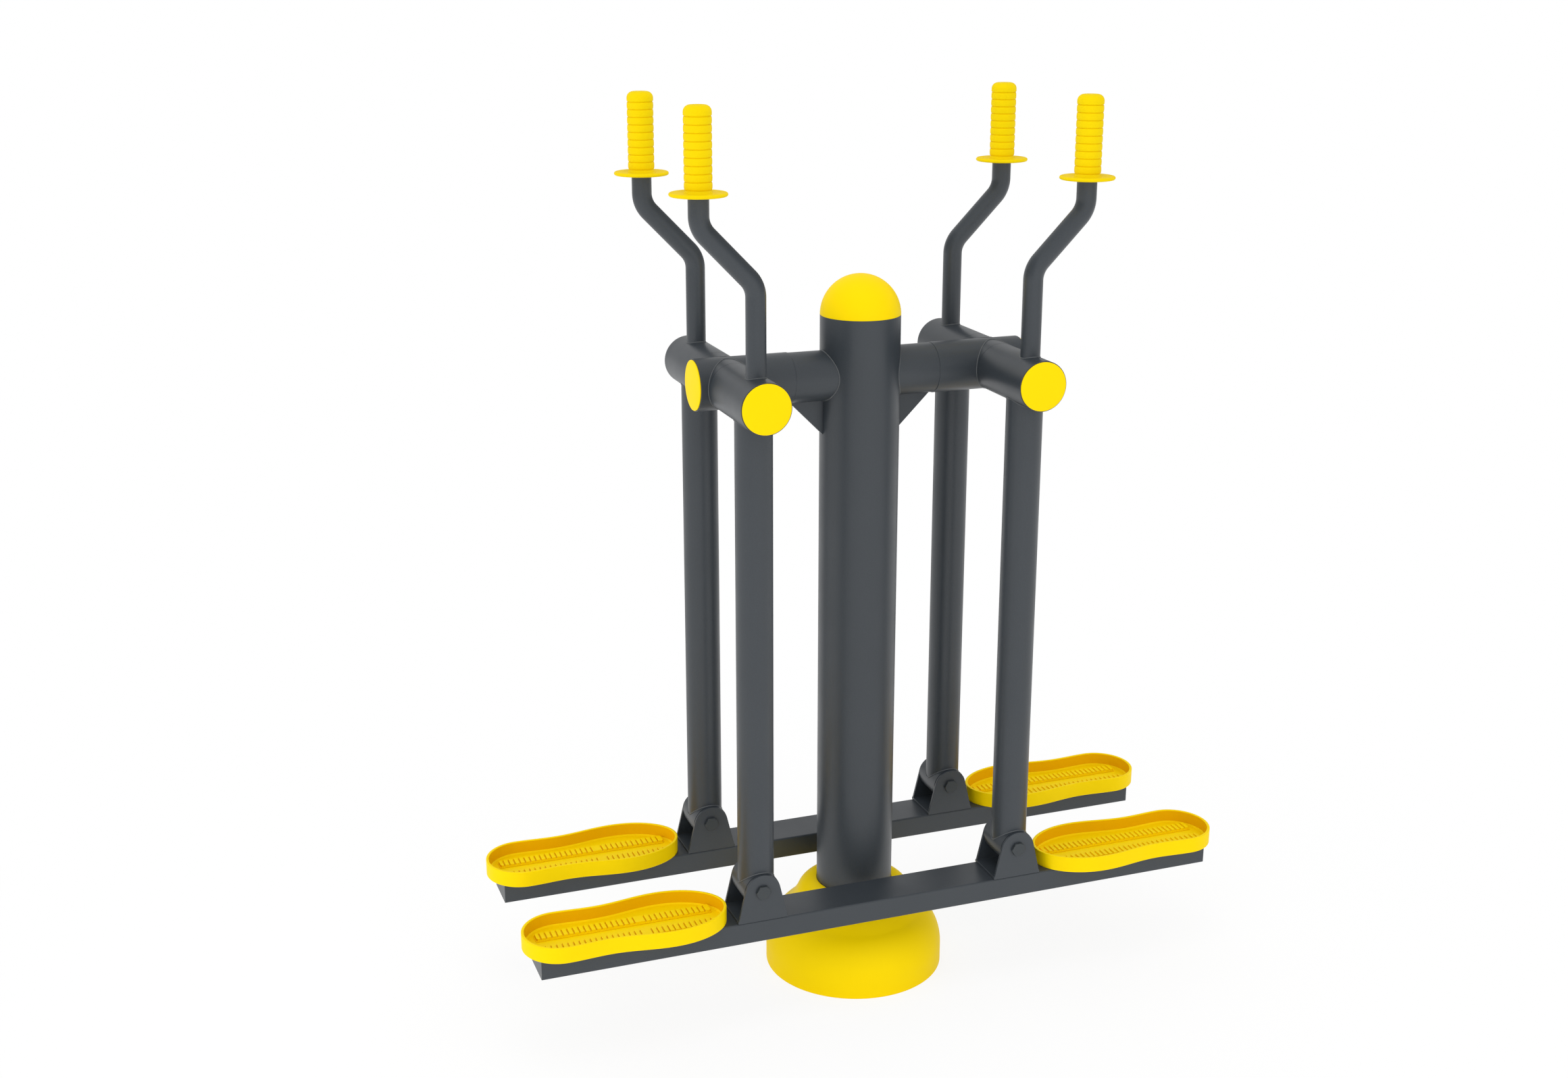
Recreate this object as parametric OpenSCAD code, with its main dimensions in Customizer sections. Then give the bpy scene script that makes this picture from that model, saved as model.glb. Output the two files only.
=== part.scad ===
// Outdoor air walker: one post carries two arms. At the end of each arm a cross
// hub lets two legs swing. A beam with two footplates hangs on each pair of legs.
// X runs along the arms and beams, Y from front to back, Z up from the ground.
// The origin is on the ground under the centre of the post.

/* [Post] */
// Outer diameter of the centre post
post_d = 140; // [120:1:150]
// Wall of the post tube
post_wall = 5; // [3:0.5:8]
// Height of the post's cut end above the axis of the arms
post_rise = 102.5; // [80:0.5:160]
// Wall of the domed cap
dome_wall = 3; // [2:0.5:5]
// Depth of the cap's plug inside the post
dome_plug_h = 30; // [15:1:50]

/* [Base] */
// Outer diameter of the bell-shaped cover at the ground
bell_d = 330; // [310:1:360]
// Height of the cover
bell_h = 165; // [155:1:175]
// Wall of the cover
bell_wall = 3; // [2:0.5:5]
// Height of the cover's straight skirt
skirt_h = 35; // [25:1:45]
// How far the cover's shoulder curves inwards
shoulder_reach = 90; // [80:1:95]
// How far the cover's shoulder curves upwards
shoulder_rise = 90; // [80:1:98]
// Largest radius of the cover's neck
neck_r = 109; // [104:1:112]
// How far the cover's neck curves inwards
neck_reach = 40; // [36:1:46]
// How far the cover's neck curves upwards
neck_rise = 38; // [32:1:44]
// Thickness of the base flange
flange_t = 16; // [10:1:25]
// Gap between the flange's rim and the inside of the cover
flange_gap = 12; // [4:1:25]
// Distance from the flange's rim to the centres of the anchor holes
anchor_edge = 30; // [20:1:45]
// Diameter of the anchor holes
anchor_d = 18; // [12:1:24]
// Number of anchor holes
anchor_count = 4; // [4:1:6]
// Thickness of the ribs between flange and post
rib_t = 10; // [6:1:14]
// Height of the ribs
rib_h = 90; // [50:1:100]
// Distance from the flange's rim to the ribs
rib_edge = 15; // [8:1:30]
// Height of the ribs' blunt outer ends
rib_toe_h = 15; // [8:1:25]

/* [Arms] */
// Outer diameter of the arm tubes
arm_d = 88.9; // [86:0.1:96]
// Wall of the arm tubes
arm_wall = 4; // [3:0.5:6]
// Distance from the post's axis to the hubs' axes
arm_reach = 246; // [225:1:280]
// How far the arms run past the hubs' axes
arm_overhang = 56; // [50:1:80]
// Outer diameter of the stubs that are welded to the post
stub_d = 87; // [84:0.5:88]
// Length of the stubs outside the post
stub_l = 63; // [62:1:80]
// Wall of the stubs
stub_wall = 5; // [4:0.5:8]
// Length of the stubs' spigots inside the arms
spigot_l = 30; // [15:1:45]
// Leg length of the gussets under the stubs
gusset_l = 60; // [40:1:62]
// Thickness of the gussets
gusset_t = 8; // [5:1:12]

/* [Hubs] */
// Outer diameter of the cross hubs
hub_d = 87; // [84:0.5:87]
// Wall of the cross hubs
hub_wall = 3.5; // [3:0.5:6]
// Distance from the centre plane to the hubs' end faces
hub_end_y = 211; // [205:1:230]
// Distance from the centre plane to the ends of the fixed collars
collar_end_y = 48; // [47:0.5:52]
// Diameter of the hub shafts
shaft_d = 40; // [34:1:44]
// Width of the hub bearings
bearing_w = 18; // [14:1:20]
// Radial thickness of the bearing rings
race_t = 6.5; // [5:0.5:7.5]
// Diameter of the bearing balls
ball_d = 12; // [10:0.5:13]
// Number of balls in a bearing
ball_count = 9; // [7:1:10]
// Distance from the hubs' end faces to the outer bearings
bearing_inset = 25; // [22:1:35]
// Outer diameter of the spacers on the shafts
spacer_d = 50; // [46:1:52]
// Thickness of the dust seals
seal_t = 5; // [3:0.5:6]
// Distance from a collar's end to the inner bearing
seal_space = 10; // [8:0.5:14]
// Outer diameter of the lock nuts on the shafts
lock_nut_d = 56; // [50:1:62]
// Thickness of the lock nuts
lock_nut_t = 11; // [8:1:14]
// Share of a tube's diameter that its cap covers
cap_share = 0.965; // [0.95:0.005:0.98]
// Height of the caps' edges
cap_edge_h = 1.5; // [1:0.5:3]
// Height of the caps' crowns
cap_crown_h = 2.5; // [1:0.5:4]
// Depth of the caps' plugs inside the tubes
cap_plug_h = 12; // [8:1:14]
// Wall of the caps' plugs
cap_plug_wall = 3; // [2:0.5:5]

/* [Legs] */
// Distance from the centre plane to the centre lines of the beams
track_y = 146; // [144:1:152]
// Distance from a hub's axis to the pivot pin below it
leg_l = 865; // [800:1:950]
// Outer diameter of the legs
leg_d = 63.5; // [57:0.5:64]
// Wall of the legs
leg_wall = 3; // [2:0.5:5]
// Outer diameter of the pivot tubes at the legs' feet
pivot_d = 65; // [64.5:0.5:70]
// Wall of the pivot tubes
pivot_wall = 9; // [6:0.5:12]
// Length of a pivot bush
bush_l = 30; // [20:1:33]

/* [Handlebars] */
// Outer diameter of the handlebars
bar_d = 33.7; // [30:0.1:36]
// Wall of the handlebars
bar_wall = 3; // [2:0.5:4]
// How far the handlebars stand outside the beams' centre lines
bar_shift_y = 14; // [8:1:20]
// Height of the lower bend above the hub's axis
bar_rise = 190; // [170:1:220]
// How far the bends carry a handlebar outwards
bar_out = 93.5; // [80:0.5:110]
// Height between the two bends
bar_out_rise = 96; // [84:1:115]
// Centre line radius of the bends
bar_bend_r = 45; // [40:1:60]
// Height from the upper bend to the grip
bar_top_rise = 49; // [40:1:70]
// Length of a grip above its disc
grip_l = 139; // [125:1:150]
// Diameter of a grip
grip_d = 44.7; // [40:0.1:50]
// Diameter of the disc under a grip
disc_d = 93; // [84:1:100]
// Thickness of the disc under a grip
disc_t = 6; // [4:0.5:8]
// Number of rings on a grip
ring_count = 9; // [7:1:11]
// Depth of the grooves between the rings
groove = 1.2; // [0.6:0.1:1.6]
// Height of a grip's plain foot
grip_foot_h = 10; // [6:1:16]
// Height of a grip's plain head
grip_head_h = 17; // [16:1:24]
// Radius round a grip's top edge
grip_top_r = 11; // [6:1:13]
// Thickness of a grip's closed top
grip_top_t = 12; // [8:1:20]

/* [Beams] */
// Height of the beams' undersides above the ground
beam_clear = 170.5; // [165:0.5:200]
// Width of a beam
beam_w = 80; // [76:1:84]
// Height of a beam
beam_h = 40; // [36:1:50]
// Wall of a beam
beam_wall = 3; // [2:0.5:4]
// Distance from the centre to a beam's end
beam_half_l = 641.5; // [620:0.5:700]
// Radius along a beam's edges
beam_edge_r = 3; // [2:0.5:5]
// Height of the pivot pins above the beams
pin_rise = 55; // [50:1:65]
// Thickness of the bracket plates
bracket_t = 5; // [4:0.5:6]
// Length of a bracket along its beam
bracket_l = 92; // [84:1:104]
// Radius of a bracket's rounded top
bracket_r = 32; // [28:0.5:36]
// Diameter of the pivot bolts
bolt_d = 16; // [12:1:18]
// Width across the flats of the bolt heads
bolt_flats = 24; // [22:0.5:28]
// Height of the bolt heads
bolt_head_h = 5; // [4:0.5:10]
// Height of the nuts
nut_h = 13; // [8:1:16]

/* [Footplates] */
// Distance from a pivot pin to the near end of the footplate
plate_start = 57; // [54:1:70]
// Length of a footplate
plate_l = 361.5; // [330:0.5:390]
// Height of a footplate
plate_h = 28.5; // [24:0.5:36]
// Wall of a footplate
plate_wall = 5; // [3:0.5:7]
// Thickness of a footplate's floor
floor_t = 4.5; // [4:0.5:8]
// Width across the ball of the foot
ball_w = 150; // [140:1:150]
// Width across the waist
waist_w = 125; // [112:1:130]
// Width across the heel
heel_w = 133; // [124:1:140]
// Width of the cove round the floor
cove_w = 3; // [1:0.5:4]
// Height of the cove round the floor
cove_h = 2; // [1:0.5:3]
// Width of a tread strip
strip_w = 17; // [13:0.5:20]
// Height of a tread strip
strip_h = 3.5; // [2.5:0.5:5]
// Distance from the centre line to the middle of a tread strip
strip_y = 24; // [20:0.5:26]
// Distance from the ball end to the tread strips
strip_ball_gap = 22; // [16:1:30]
// Distance from the heel end to the tread strips
strip_heel_gap = 28; // [20:1:36]
// Width of the notches in the tread strips
notch_w = 3; // [2:0.5:4]
// Depth of the notches in the tread strips
notch_depth = 2; // [1:0.5:2.5]
// Number of notches under the heel
heel_notches = 17; // [12:1:18]
// Number of notches under the ball of the foot
ball_notches = 12; // [9:1:13]
// Plain length of a tread strip at its heel end
heel_block_l = 17; // [12:1:20]
// Plain length of a tread strip at its ball end
ball_block_l = 11; // [11:1:16]
// Plain length of a tread strip between its notches
mid_block_l = 20; // [14:1:26]
// Diameter of the screws under a footplate
screw_d = 8; // [6:0.5:10]
// Diameter of the screw heads
screw_head_d = 13; // [12:0.5:14]
// Height of the screw heads
screw_head_h = 8; // [5:0.5:10]
// Diameter of the access holes under the screws
access_d = 20; // [16:1:22]

/* [Colours] */
// Colour of the powder-coated steel
frame_colour = "#4a4f53"; // [#4a4f53, #33373a, #5a6065]
// Colour of the moulded covers, caps, grips and footplates
yellow_colour = "#ffdd00"; // [#ffdd00, #ff8a00, #e4322b]
// Colour of the bare steel inside the hubs
steel_colour = "#b9bcbf"; // [#b9bcbf, #8f9295]
// Colour of the pivot bushes
bush_colour = "#e8e4d8"; // [#e8e4d8, #c99a4b]
// Colour of the dust seals
seal_colour = "#1c1c1e"; // [#1c1c1e, #3a3a3c]

/* [Hidden] */
// Running clearance round the pins of the pivots that guide the beams
pin_play = 0.1;
// Clearance round the pins of the pivots at the other end of each beam
open_pin_play = 0.3;
// Clearance of a part that slides over or into a fixed tube
slip_play = 0.3;
// Gap between faces that turn past each other
face_gap = 0.5;
// Clearance of the balls in their races
ball_play = 0.3;
// How far a cut runs past the part that it cuts
over = 1;
// How far the bell's blend curve leans on its two neighbours
blend_l = 10;
// Angle at which the bell's shoulder curve ends
shoulder_end_angle = 52;
// Angle at which the bell's neck curve starts
neck_start_angle = 20;
// Places of the ball, waist and heel as shares of a footplate's length
ball_share = 0.3;
waist_share = 0.615;
heel_share = 0.82;
// Places of the footplate's screws as shares of its length
screw_shares = [0.2, 0.8];
// Depth of the screw threads as a share of the floor and strip
thread_share = 0.65;
// Number of steps in a curved outline
steps = 12;
// Number of steps in a handlebar's bend
bend_steps = 6;
// Number of flat sides round a handlebar
bar_sides = 24;
// Number of points on the flank of a grip's ring
ring_steps = 6;
$fn = 72;

post_r = post_d / 2;
bell_r = bell_d / 2;
flange_r = bell_r - bell_wall - flange_gap;
anchor_r = flange_r - anchor_edge;
stub_end_x = post_r + stub_l;
arm_end_x = arm_reach + arm_overhang;
beam_top_z = beam_clear + beam_h;
pin_z = beam_top_z + pin_rise;
arm_z = pin_z + leg_l;
post_top_z = arm_z + post_rise;
sleeve_start_y = collar_end_y + face_gap;
inner_bearing_y = sleeve_start_y + seal_space;
outer_bearing_y = hub_end_y - bearing_inset - bearing_w;
lock_nut_y = outer_bearing_y + bearing_w;
shaft_end_y = lock_nut_y + lock_nut_t + over;
hub_bore_d = hub_d - 2 * hub_wall;
ball_circle_r = (shaft_d + hub_bore_d) / 4;
pivot_half_l = beam_w / 2 - bracket_t - face_gap;
bar_y = track_y + bar_shift_y;
bar_angle = atan2(bar_out, bar_out_rise);
bar_tangent = bar_bend_r * tan(bar_angle / 2);
grip_z = bar_rise + bar_out_rise + bar_top_rise;
plate_x = arm_reach + plate_start;
strip_l = plate_l - strip_ball_gap - strip_heel_gap;
notch_pitch = (strip_l - heel_block_l - ball_block_l - mid_block_l) / (heel_notches + ball_notches - 2);
thread_l = thread_share * (floor_t + strip_h);
bush_bore_play = [open_pin_play, pin_play];

// Sides of the object: -1 is left or front, +1 is right or rear
LEFT = -1;
RIGHT = 1;
FRONT = -1;
REAR = 1;

// Turns a piece that stands along Z to lie along Y
module along_y() {
    rotate([-90, 0, 0]) children();
}

// Turns a piece that stands along Z to lie along X
module along_x() {
    rotate([0, 90, 0]) children();
}

// Moves a piece drawn for the right rear quarter to another quarter
module quarter(side, row) {
    mirror([max(0, -side), 0, 0]) mirror([0, max(0, -row), 0]) children();
}

// Draws a piece in all four quarters
module four_quarters() {
    for (side = [LEFT, RIGHT], row = [FRONT, REAR]) quarter(side, row) children();
}

// Puts a piece of a swinging arm on its hub's axis
module on_hub(side, row) {
    quarter(side, row) translate([arm_reach, 0, arm_z]) children();
}

// Open tube along Z
module pipe(d, wall, l) {
    difference() {
        cylinder(h = l, d = d);
        translate([0, 0, -over]) cylinder(h = l + 2 * over, d = d - 2 * wall);
    }
}

// Flat ring of a tube's section
module ring_section(d, wall) {
    difference() {
        circle(d = d);
        circle(d = d - 2 * wall);
    }
}

// Bar of any length that cuts a seat for another tube
module saddle(d, half_l) {
    translate([0, 0, -half_l]) cylinder(h = 2 * half_l, d = d);
}

// Points of an ellipse from one angle to another round a centre
function arc_points(centre, reach, rise, from, to) =
    [for (i = [0 : steps]) let (a = from + (to - from) * i / steps)
        [centre[0] + reach * cos(a), centre[1] + rise * sin(a)]];

// Point of a cubic curve with four control points
function curve_point(a, b, c, d, t) =
    a * pow(1 - t, 3) + 3 * b * t * pow(1 - t, 2) + 3 * c * pow(t, 2) * (1 - t) + d * pow(t, 3);

// Direction in which an ellipse runs at an angle
function arc_heading(reach, rise, a) =
    [-reach * sin(a), rise * cos(a)] / norm([-reach * sin(a), rise * cos(a)]);

// Outline of the bell from the ground to its top, drawn in by an inset
function bell_points(inset) =
    let (
        reach = shoulder_reach - inset,
        rise = shoulder_rise - inset,
        neck_in = neck_reach - inset,
        neck_up = neck_rise - inset,
        foot = [bell_r - shoulder_reach, skirt_h],
        shoulder = arc_points(foot, reach, rise, 0, shoulder_end_angle),
        head = [neck_r - neck_reach, bell_h - neck_rise],
        neck = arc_points(head, neck_in, neck_up, neck_start_angle, 90),
        a = shoulder[steps],
        d = neck[0],
        b = a + blend_l * arc_heading(reach, rise, shoulder_end_angle),
        c = d - blend_l * arc_heading(neck_in, neck_up, neck_start_angle),
        blend = [for (i = [1 : steps - 1]) curve_point(a, b, c, d, i / steps)]
    )
    concat([[0, 0], [bell_r - inset, 0]], shoulder, blend, neck, [[0, bell_h - inset]]);

module post() {
    color(frame_colour)
    translate([0, 0, flange_t]) pipe(post_d, post_wall, post_top_z - flange_t);
}

module base_flange() {
    color(frame_colour)
    difference() {
        cylinder(h = flange_t, r = flange_r);
        for (i = [0 : anchor_count - 1])
            rotate(360 * (i + 0.5) / anchor_count)
            translate([anchor_r, 0, -over])
            cylinder(h = flange_t + 2 * over, d = anchor_d);
    }
}

module base_ribs() {
    rib_end = flange_r - rib_edge;
    color(frame_colour)
    difference() {
        for (i = [0 : anchor_count - 1])
            rotate(360 * i / anchor_count)
            translate([0, rib_t / 2, flange_t])
            rotate([90, 0, 0])
            linear_extrude(rib_t)
            polygon([
                [post_r - over, 0], [rib_end, 0], [rib_end, rib_toe_h],
                [post_r + rib_toe_h, rib_h], [post_r - over, rib_h]
            ]);
        cylinder(h = flange_t + rib_h + over, r = post_r);
    }
}

module base_cover() {
    color(yellow_colour)
    rotate_extrude()
    difference() {
        polygon(bell_points(0));
        polygon(bell_points(bell_wall));
        square([post_r + slip_play, bell_h + over]);
    }
}

module post_cap() {
    plug_r = post_r - post_wall - slip_play;
    color(yellow_colour)
    translate([0, 0, post_top_z])
    rotate_extrude() {
        intersection() {
            ring_section(post_d, dome_wall);
            square([post_r, post_r]);
        }
        translate([plug_r - dome_wall, -dome_plug_h]) square([dome_wall, dome_plug_h + dome_wall]);
        intersection() {
            circle(d = post_d);
            translate([plug_r - dome_wall, 0]) square([post_r, dome_wall]);
        }
    }
}

module arm_stubs() {
    spigot_d = arm_d - 2 * arm_wall - 2 * slip_play;
    color(frame_colour)
    for (side = [LEFT, RIGHT])
        quarter(side, REAR)
        translate([0, 0, arm_z])
        difference() {
            along_x() union() {
                pipe(stub_d, stub_wall, stub_end_x);
                translate([0, 0, stub_end_x - spigot_l])
                    pipe(spigot_d, (spigot_d - stub_d) / 2 + stub_wall, 2 * spigot_l);
            }
            translate([0, 0, -stub_d]) cylinder(h = 2 * stub_d, r = post_r);
        }
}

module arm_gussets() {
    color(frame_colour)
    for (side = [LEFT, RIGHT])
        quarter(side, REAR)
        difference() {
            translate([0, gusset_t / 2, arm_z])
                rotate([90, 0, 0])
                linear_extrude(gusset_t)
                polygon([
                    [post_r - over, over - stub_d / 2], [post_r + gusset_l, over - stub_d / 2],
                    [post_r + gusset_l, -stub_d / 2], [post_r, -stub_d / 2 - gusset_l],
                    [post_r - over, -stub_d / 2 - gusset_l]
                ]);
            translate([0, 0, arm_z]) along_x() cylinder(h = stub_end_x, d = stub_d);
            cylinder(h = arm_z, r = post_r);
        }
}

module arm(side) {
    color(frame_colour)
    quarter(side, REAR)
    difference() {
        translate([stub_end_x, 0, arm_z]) along_x() pipe(arm_d, arm_wall, arm_end_x - stub_end_x);
        translate([arm_reach, 0, arm_z]) along_y() saddle(shaft_d, arm_d);
    }
}

// Crowned cap with a hollow plug, drawn with its seat at zero and facing up
module tube_cap(tube_d, tube_wall) {
    cap_r = cap_share * tube_d / 2;
    plug_r = tube_d / 2 - tube_wall - slip_play;
    rotate_extrude()
    difference() {
        union() {
            polygon(concat(
                [[0, 0], [cap_r, 0]],
                arc_points([0, cap_edge_h], cap_r, cap_crown_h, 0, 90)
            ));
            translate([0, -cap_plug_h]) square([plug_r, cap_plug_h]);
        }
        translate([0, -cap_plug_h - over]) square([plug_r - cap_plug_wall, cap_plug_h + over]);
    }
}

module arm_caps() {
    color(yellow_colour)
    for (side = [LEFT, RIGHT])
        quarter(side, REAR)
        translate([arm_end_x, 0, arm_z])
        along_x()
        tube_cap(arm_d, arm_wall);
}

module hub_shafts() {
    color(steel_colour)
    for (side = [LEFT, RIGHT])
        quarter(side, REAR)
        translate([arm_reach, 0, arm_z])
        along_y()
        saddle(shaft_d, shaft_end_y);
}

// Tube on a hub's axis whose inner end is shaped to sit on the arm
module coped_pipe(d, wall, end_y) {
    difference() {
        along_y() pipe(d, wall, end_y);
        along_x() saddle(arm_d, d);
    }
}

module hub_collars() {
    color(frame_colour)
    four_quarters() translate([arm_reach, 0, arm_z]) coped_pipe(hub_d, hub_wall, collar_end_y);
}

module hub_seals() {
    seal_d = hub_bore_d - 2 * slip_play;
    color(seal_colour)
    four_quarters()
        translate([arm_reach, sleeve_start_y + face_gap, arm_z])
        along_y()
        pipe(seal_d, (seal_d - spacer_d) / 2, seal_t);
}

module shaft_spacers() {
    spacer_wall = (spacer_d - shaft_d) / 2;
    gap_start_y = inner_bearing_y + bearing_w;
    color(steel_colour)
    four_quarters()
        translate([arm_reach, 0, arm_z]) {
            coped_pipe(spacer_d, spacer_wall, inner_bearing_y);
            translate([0, gap_start_y, 0])
                along_y()
                pipe(spacer_d, spacer_wall, outer_bearing_y - gap_start_y);
        }
}

module lock_nuts() {
    color(steel_colour)
    four_quarters()
        translate([arm_reach, lock_nut_y, arm_z])
        along_y()
        pipe(lock_nut_d, (lock_nut_d - shaft_d) / 2, lock_nut_t);
}

// Bearing ring between two radii with a groove for the balls
module race(inner_r, outer_r, groove_r) {
    rotate_extrude()
    difference() {
        translate([inner_r, 0]) square([outer_r - inner_r, bearing_w]);
        translate([ball_circle_r, bearing_w / 2]) circle(r = groove_r);
    }
}

// Draws a piece at both bearings of a hub
module at_bearings() {
    for (y = [inner_bearing_y, outer_bearing_y]) translate([0, y, 0]) along_y() children();
}

module bearing_inner_rings() {
    color(steel_colour)
    four_quarters()
        translate([arm_reach, 0, arm_z])
        at_bearings()
        race(shaft_d / 2, shaft_d / 2 + race_t, ball_d / 2 + ball_play);
}

module bearings(side, row) {
    color(steel_colour)
    on_hub(side, row)
    at_bearings() {
        race(hub_bore_d / 2 - race_t, hub_bore_d / 2, ball_d / 2 + ball_play);
        for (i = [0 : ball_count - 1])
            rotate(360 * i / ball_count)
            translate([ball_circle_r, 0, bearing_w / 2])
            sphere(d = ball_d);
    }
}

module sleeve(side, row) {
    color(frame_colour)
    on_hub(side, row)
    translate([0, sleeve_start_y, 0])
    along_y()
    pipe(hub_d, hub_wall, hub_end_y - sleeve_start_y);
}

module hub_cap(side, row) {
    color(yellow_colour)
    on_hub(side, row)
    translate([0, hub_end_y, 0])
    along_y()
    tube_cap(hub_d, hub_wall);
}

module leg(side, row) {
    color(frame_colour)
    on_hub(side, row)
    translate([0, track_y, 0])
    difference() {
        translate([0, 0, -leg_l]) pipe(leg_d, leg_wall, leg_l);
        along_y() saddle(hub_d, leg_d);
        translate([0, 0, -leg_l]) along_y() saddle(pivot_d, leg_d);
    }
}

module pivot_tube(side, row) {
    color(frame_colour)
    on_hub(side, row)
    translate([0, track_y - pivot_half_l, -leg_l])
    along_y()
    pipe(pivot_d, pivot_wall, 2 * pivot_half_l);
}

module bushes(side, row) {
    bush_d = pivot_d - 2 * pivot_wall;
    bore_d = bolt_d + 2 * bush_bore_play[(1 - side) / 2];
    color(bush_colour)
    on_hub(side, row)
    for (y = [-pivot_half_l, pivot_half_l - bush_l])
        translate([0, track_y + y, -leg_l])
        along_y()
        pipe(bush_d, (bush_d - bore_d) / 2, bush_l);
}

// Centre line of a handlebar from its foot to its top: outward place, height and lean
function bar_path() =
    let (
        lower_z = bar_rise - bar_tangent,
        upper_z = bar_rise + bar_out_rise + bar_tangent,
        top_z = grip_z + grip_l - grip_top_t - slip_play
    )
    concat(
        [[0, 0, 0]],
        [for (i = [0 : bend_steps]) let (a = bar_angle * i / bend_steps)
            [bar_bend_r * (1 - cos(a)), lower_z + bar_bend_r * sin(a), a]],
        [for (i = [bend_steps : -1 : 0]) let (a = bar_angle * i / bend_steps)
            [bar_out - bar_bend_r * (1 - cos(a)), upper_z - bar_bend_r * sin(a), a]],
        [[bar_out, top_z, 0]]
    );

// Tube along a centre line that bends in the XZ plane
module swept_tube(path, d, wall) {
    n = bar_sides;
    bore = len(path) * n;
    end = bore - n;
    points = [for (r = [d / 2, d / 2 - wall], p = path, k = [0 : n - 1]) let (a = 360 * k / n)
        [p[0] + r * cos(a) * cos(p[2]), r * sin(a), p[1] - r * cos(a) * sin(p[2])]];
    pairs = [for (k = [0 : n - 1]) [k, (k + 1) % n]];
    outside = [for (i = [0 : n : end - n], p = pairs) [i + p[0], i + n + p[0], i + n + p[1], i + p[1]]];
    inside = [for (f = outside) [f[0] + bore, f[3] + bore, f[2] + bore, f[1] + bore]];
    foot = [for (p = pairs) [p[0], p[1], p[1] + bore, p[0] + bore]];
    top = [for (f = foot) [f[0] + end, f[3] + end, f[2] + end, f[1] + end]];
    polyhedron(points, concat(outside, inside, foot, top));
}

module handlebar(side, row) {
    color(frame_colour)
    on_hub(side, row)
    translate([0, bar_y, 0])
    difference() {
        swept_tube(bar_path(), bar_d, bar_wall);
        along_y() saddle(hub_d, bar_d);
    }
}

// Outline of a grip from its disc to its closed top
function grip_points() =
    let (
        r = grip_d / 2,
        ring_h = (grip_l - grip_foot_h - grip_head_h) / ring_count,
        rings = [for (i = [0 : ring_count - 1], k = [0 : ring_steps - 1])
            let (swell = groove * sqrt(sin(180 * k / ring_steps)))
            [r - groove + swell, grip_foot_h + ring_h * (i + k / ring_steps)]]
    )
    concat(
        [[0, 0], [disc_d / 2 - disc_t / 2, 0]],
        [for (i = [1 : steps - 1]) let (a = 180 * i / steps - 90)
            [(disc_d - disc_t) / 2 + disc_t / 2 * cos(a), disc_t / 2 + disc_t / 2 * sin(a)]],
        [[disc_d / 2 - disc_t / 2, disc_t], [r, disc_t], [r, grip_foot_h]],
        rings,
        [[r - groove, grip_l - grip_head_h], [r, grip_l - grip_head_h + groove]],
        arc_points([r - grip_top_r, grip_l - grip_top_r], grip_top_r, grip_top_r, 0, 90),
        [[0, grip_l]]
    );

module grip(side, row) {
    bore_r = bar_d / 2 + slip_play;
    color(yellow_colour)
    on_hub(side, row)
    translate([bar_out, bar_y, grip_z])
    rotate_extrude()
    difference() {
        polygon(grip_points());
        translate([0, -over]) square([bore_r, grip_l - grip_top_t + over]);
    }
}

// Rectangle with round corners, centred
module rounded_rect(w, h, r) {
    square([w - 2 * r, h], center = true);
    square([w, h - 2 * r], center = true);
    for (x = [r - w / 2, w / 2 - r], y = [r - h / 2, h / 2 - r]) translate([x, y]) circle(r = r);
}

// Draws a piece under each tread strip of both footplates
module at_screws(row) {
    for (side = [LEFT, RIGHT], share = screw_shares, y = [-strip_y, strip_y])
        translate([side * (plate_x + share * plate_l), row * track_y + y, beam_top_z])
        children();
}

module beam(row) {
    inner_w = beam_w - 2 * beam_wall;
    inner_h = beam_h - 2 * beam_wall;
    color(frame_colour) {
        difference() {
            translate([-beam_half_l, row * track_y, beam_top_z - beam_h / 2])
                along_x()
                linear_extrude(2 * beam_half_l)
                difference() {
                    rounded_rect(beam_h, beam_w, beam_edge_r);
                    square([inner_h, inner_w], center = true);
                }
            at_screws(row) {
                translate([0, 0, -beam_wall - over]) cylinder(h = beam_wall + 2 * over, d = screw_d);
                translate([0, 0, -beam_h - over]) cylinder(h = beam_wall + 2 * over, d = access_d);
            }
        }
        for (x = [-beam_half_l, beam_half_l - beam_wall])
            translate([x, row * track_y - inner_w / 2, beam_clear + beam_wall])
            cube([beam_wall, inner_w, inner_h]);
    }
}

// Side plate of a bracket, drawn round the pin: straight sides run from the base
// to touch the rounded top
module bracket_plate() {
    corner = [bracket_l / 2, -pin_rise];
    touch_angle = acos(bracket_r / norm(corner)) + atan2(corner[1], corner[0]);
    touch = bracket_r * [cos(touch_angle), sin(touch_angle)];
    rotate([90, 0, 0])
    linear_extrude(bracket_t)
    difference() {
        union() {
            circle(r = bracket_r);
            polygon([corner, touch, [-touch[0], touch[1]], [-corner[0], corner[1]]]);
        }
        circle(d = bolt_d + 2 * slip_play);
    }
}

module brackets(row) {
    color(frame_colour)
    for (side = [LEFT, RIGHT])
        translate([side * arm_reach, row * track_y, pin_z])
        union() {
            translate([0, bracket_t - beam_w / 2, 0]) bracket_plate();
            translate([0, beam_w / 2, 0]) bracket_plate();
            translate([-bracket_l / 2, -beam_w / 2, -pin_rise]) cube([bracket_l, beam_w, bracket_t]);
        }
}

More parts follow.
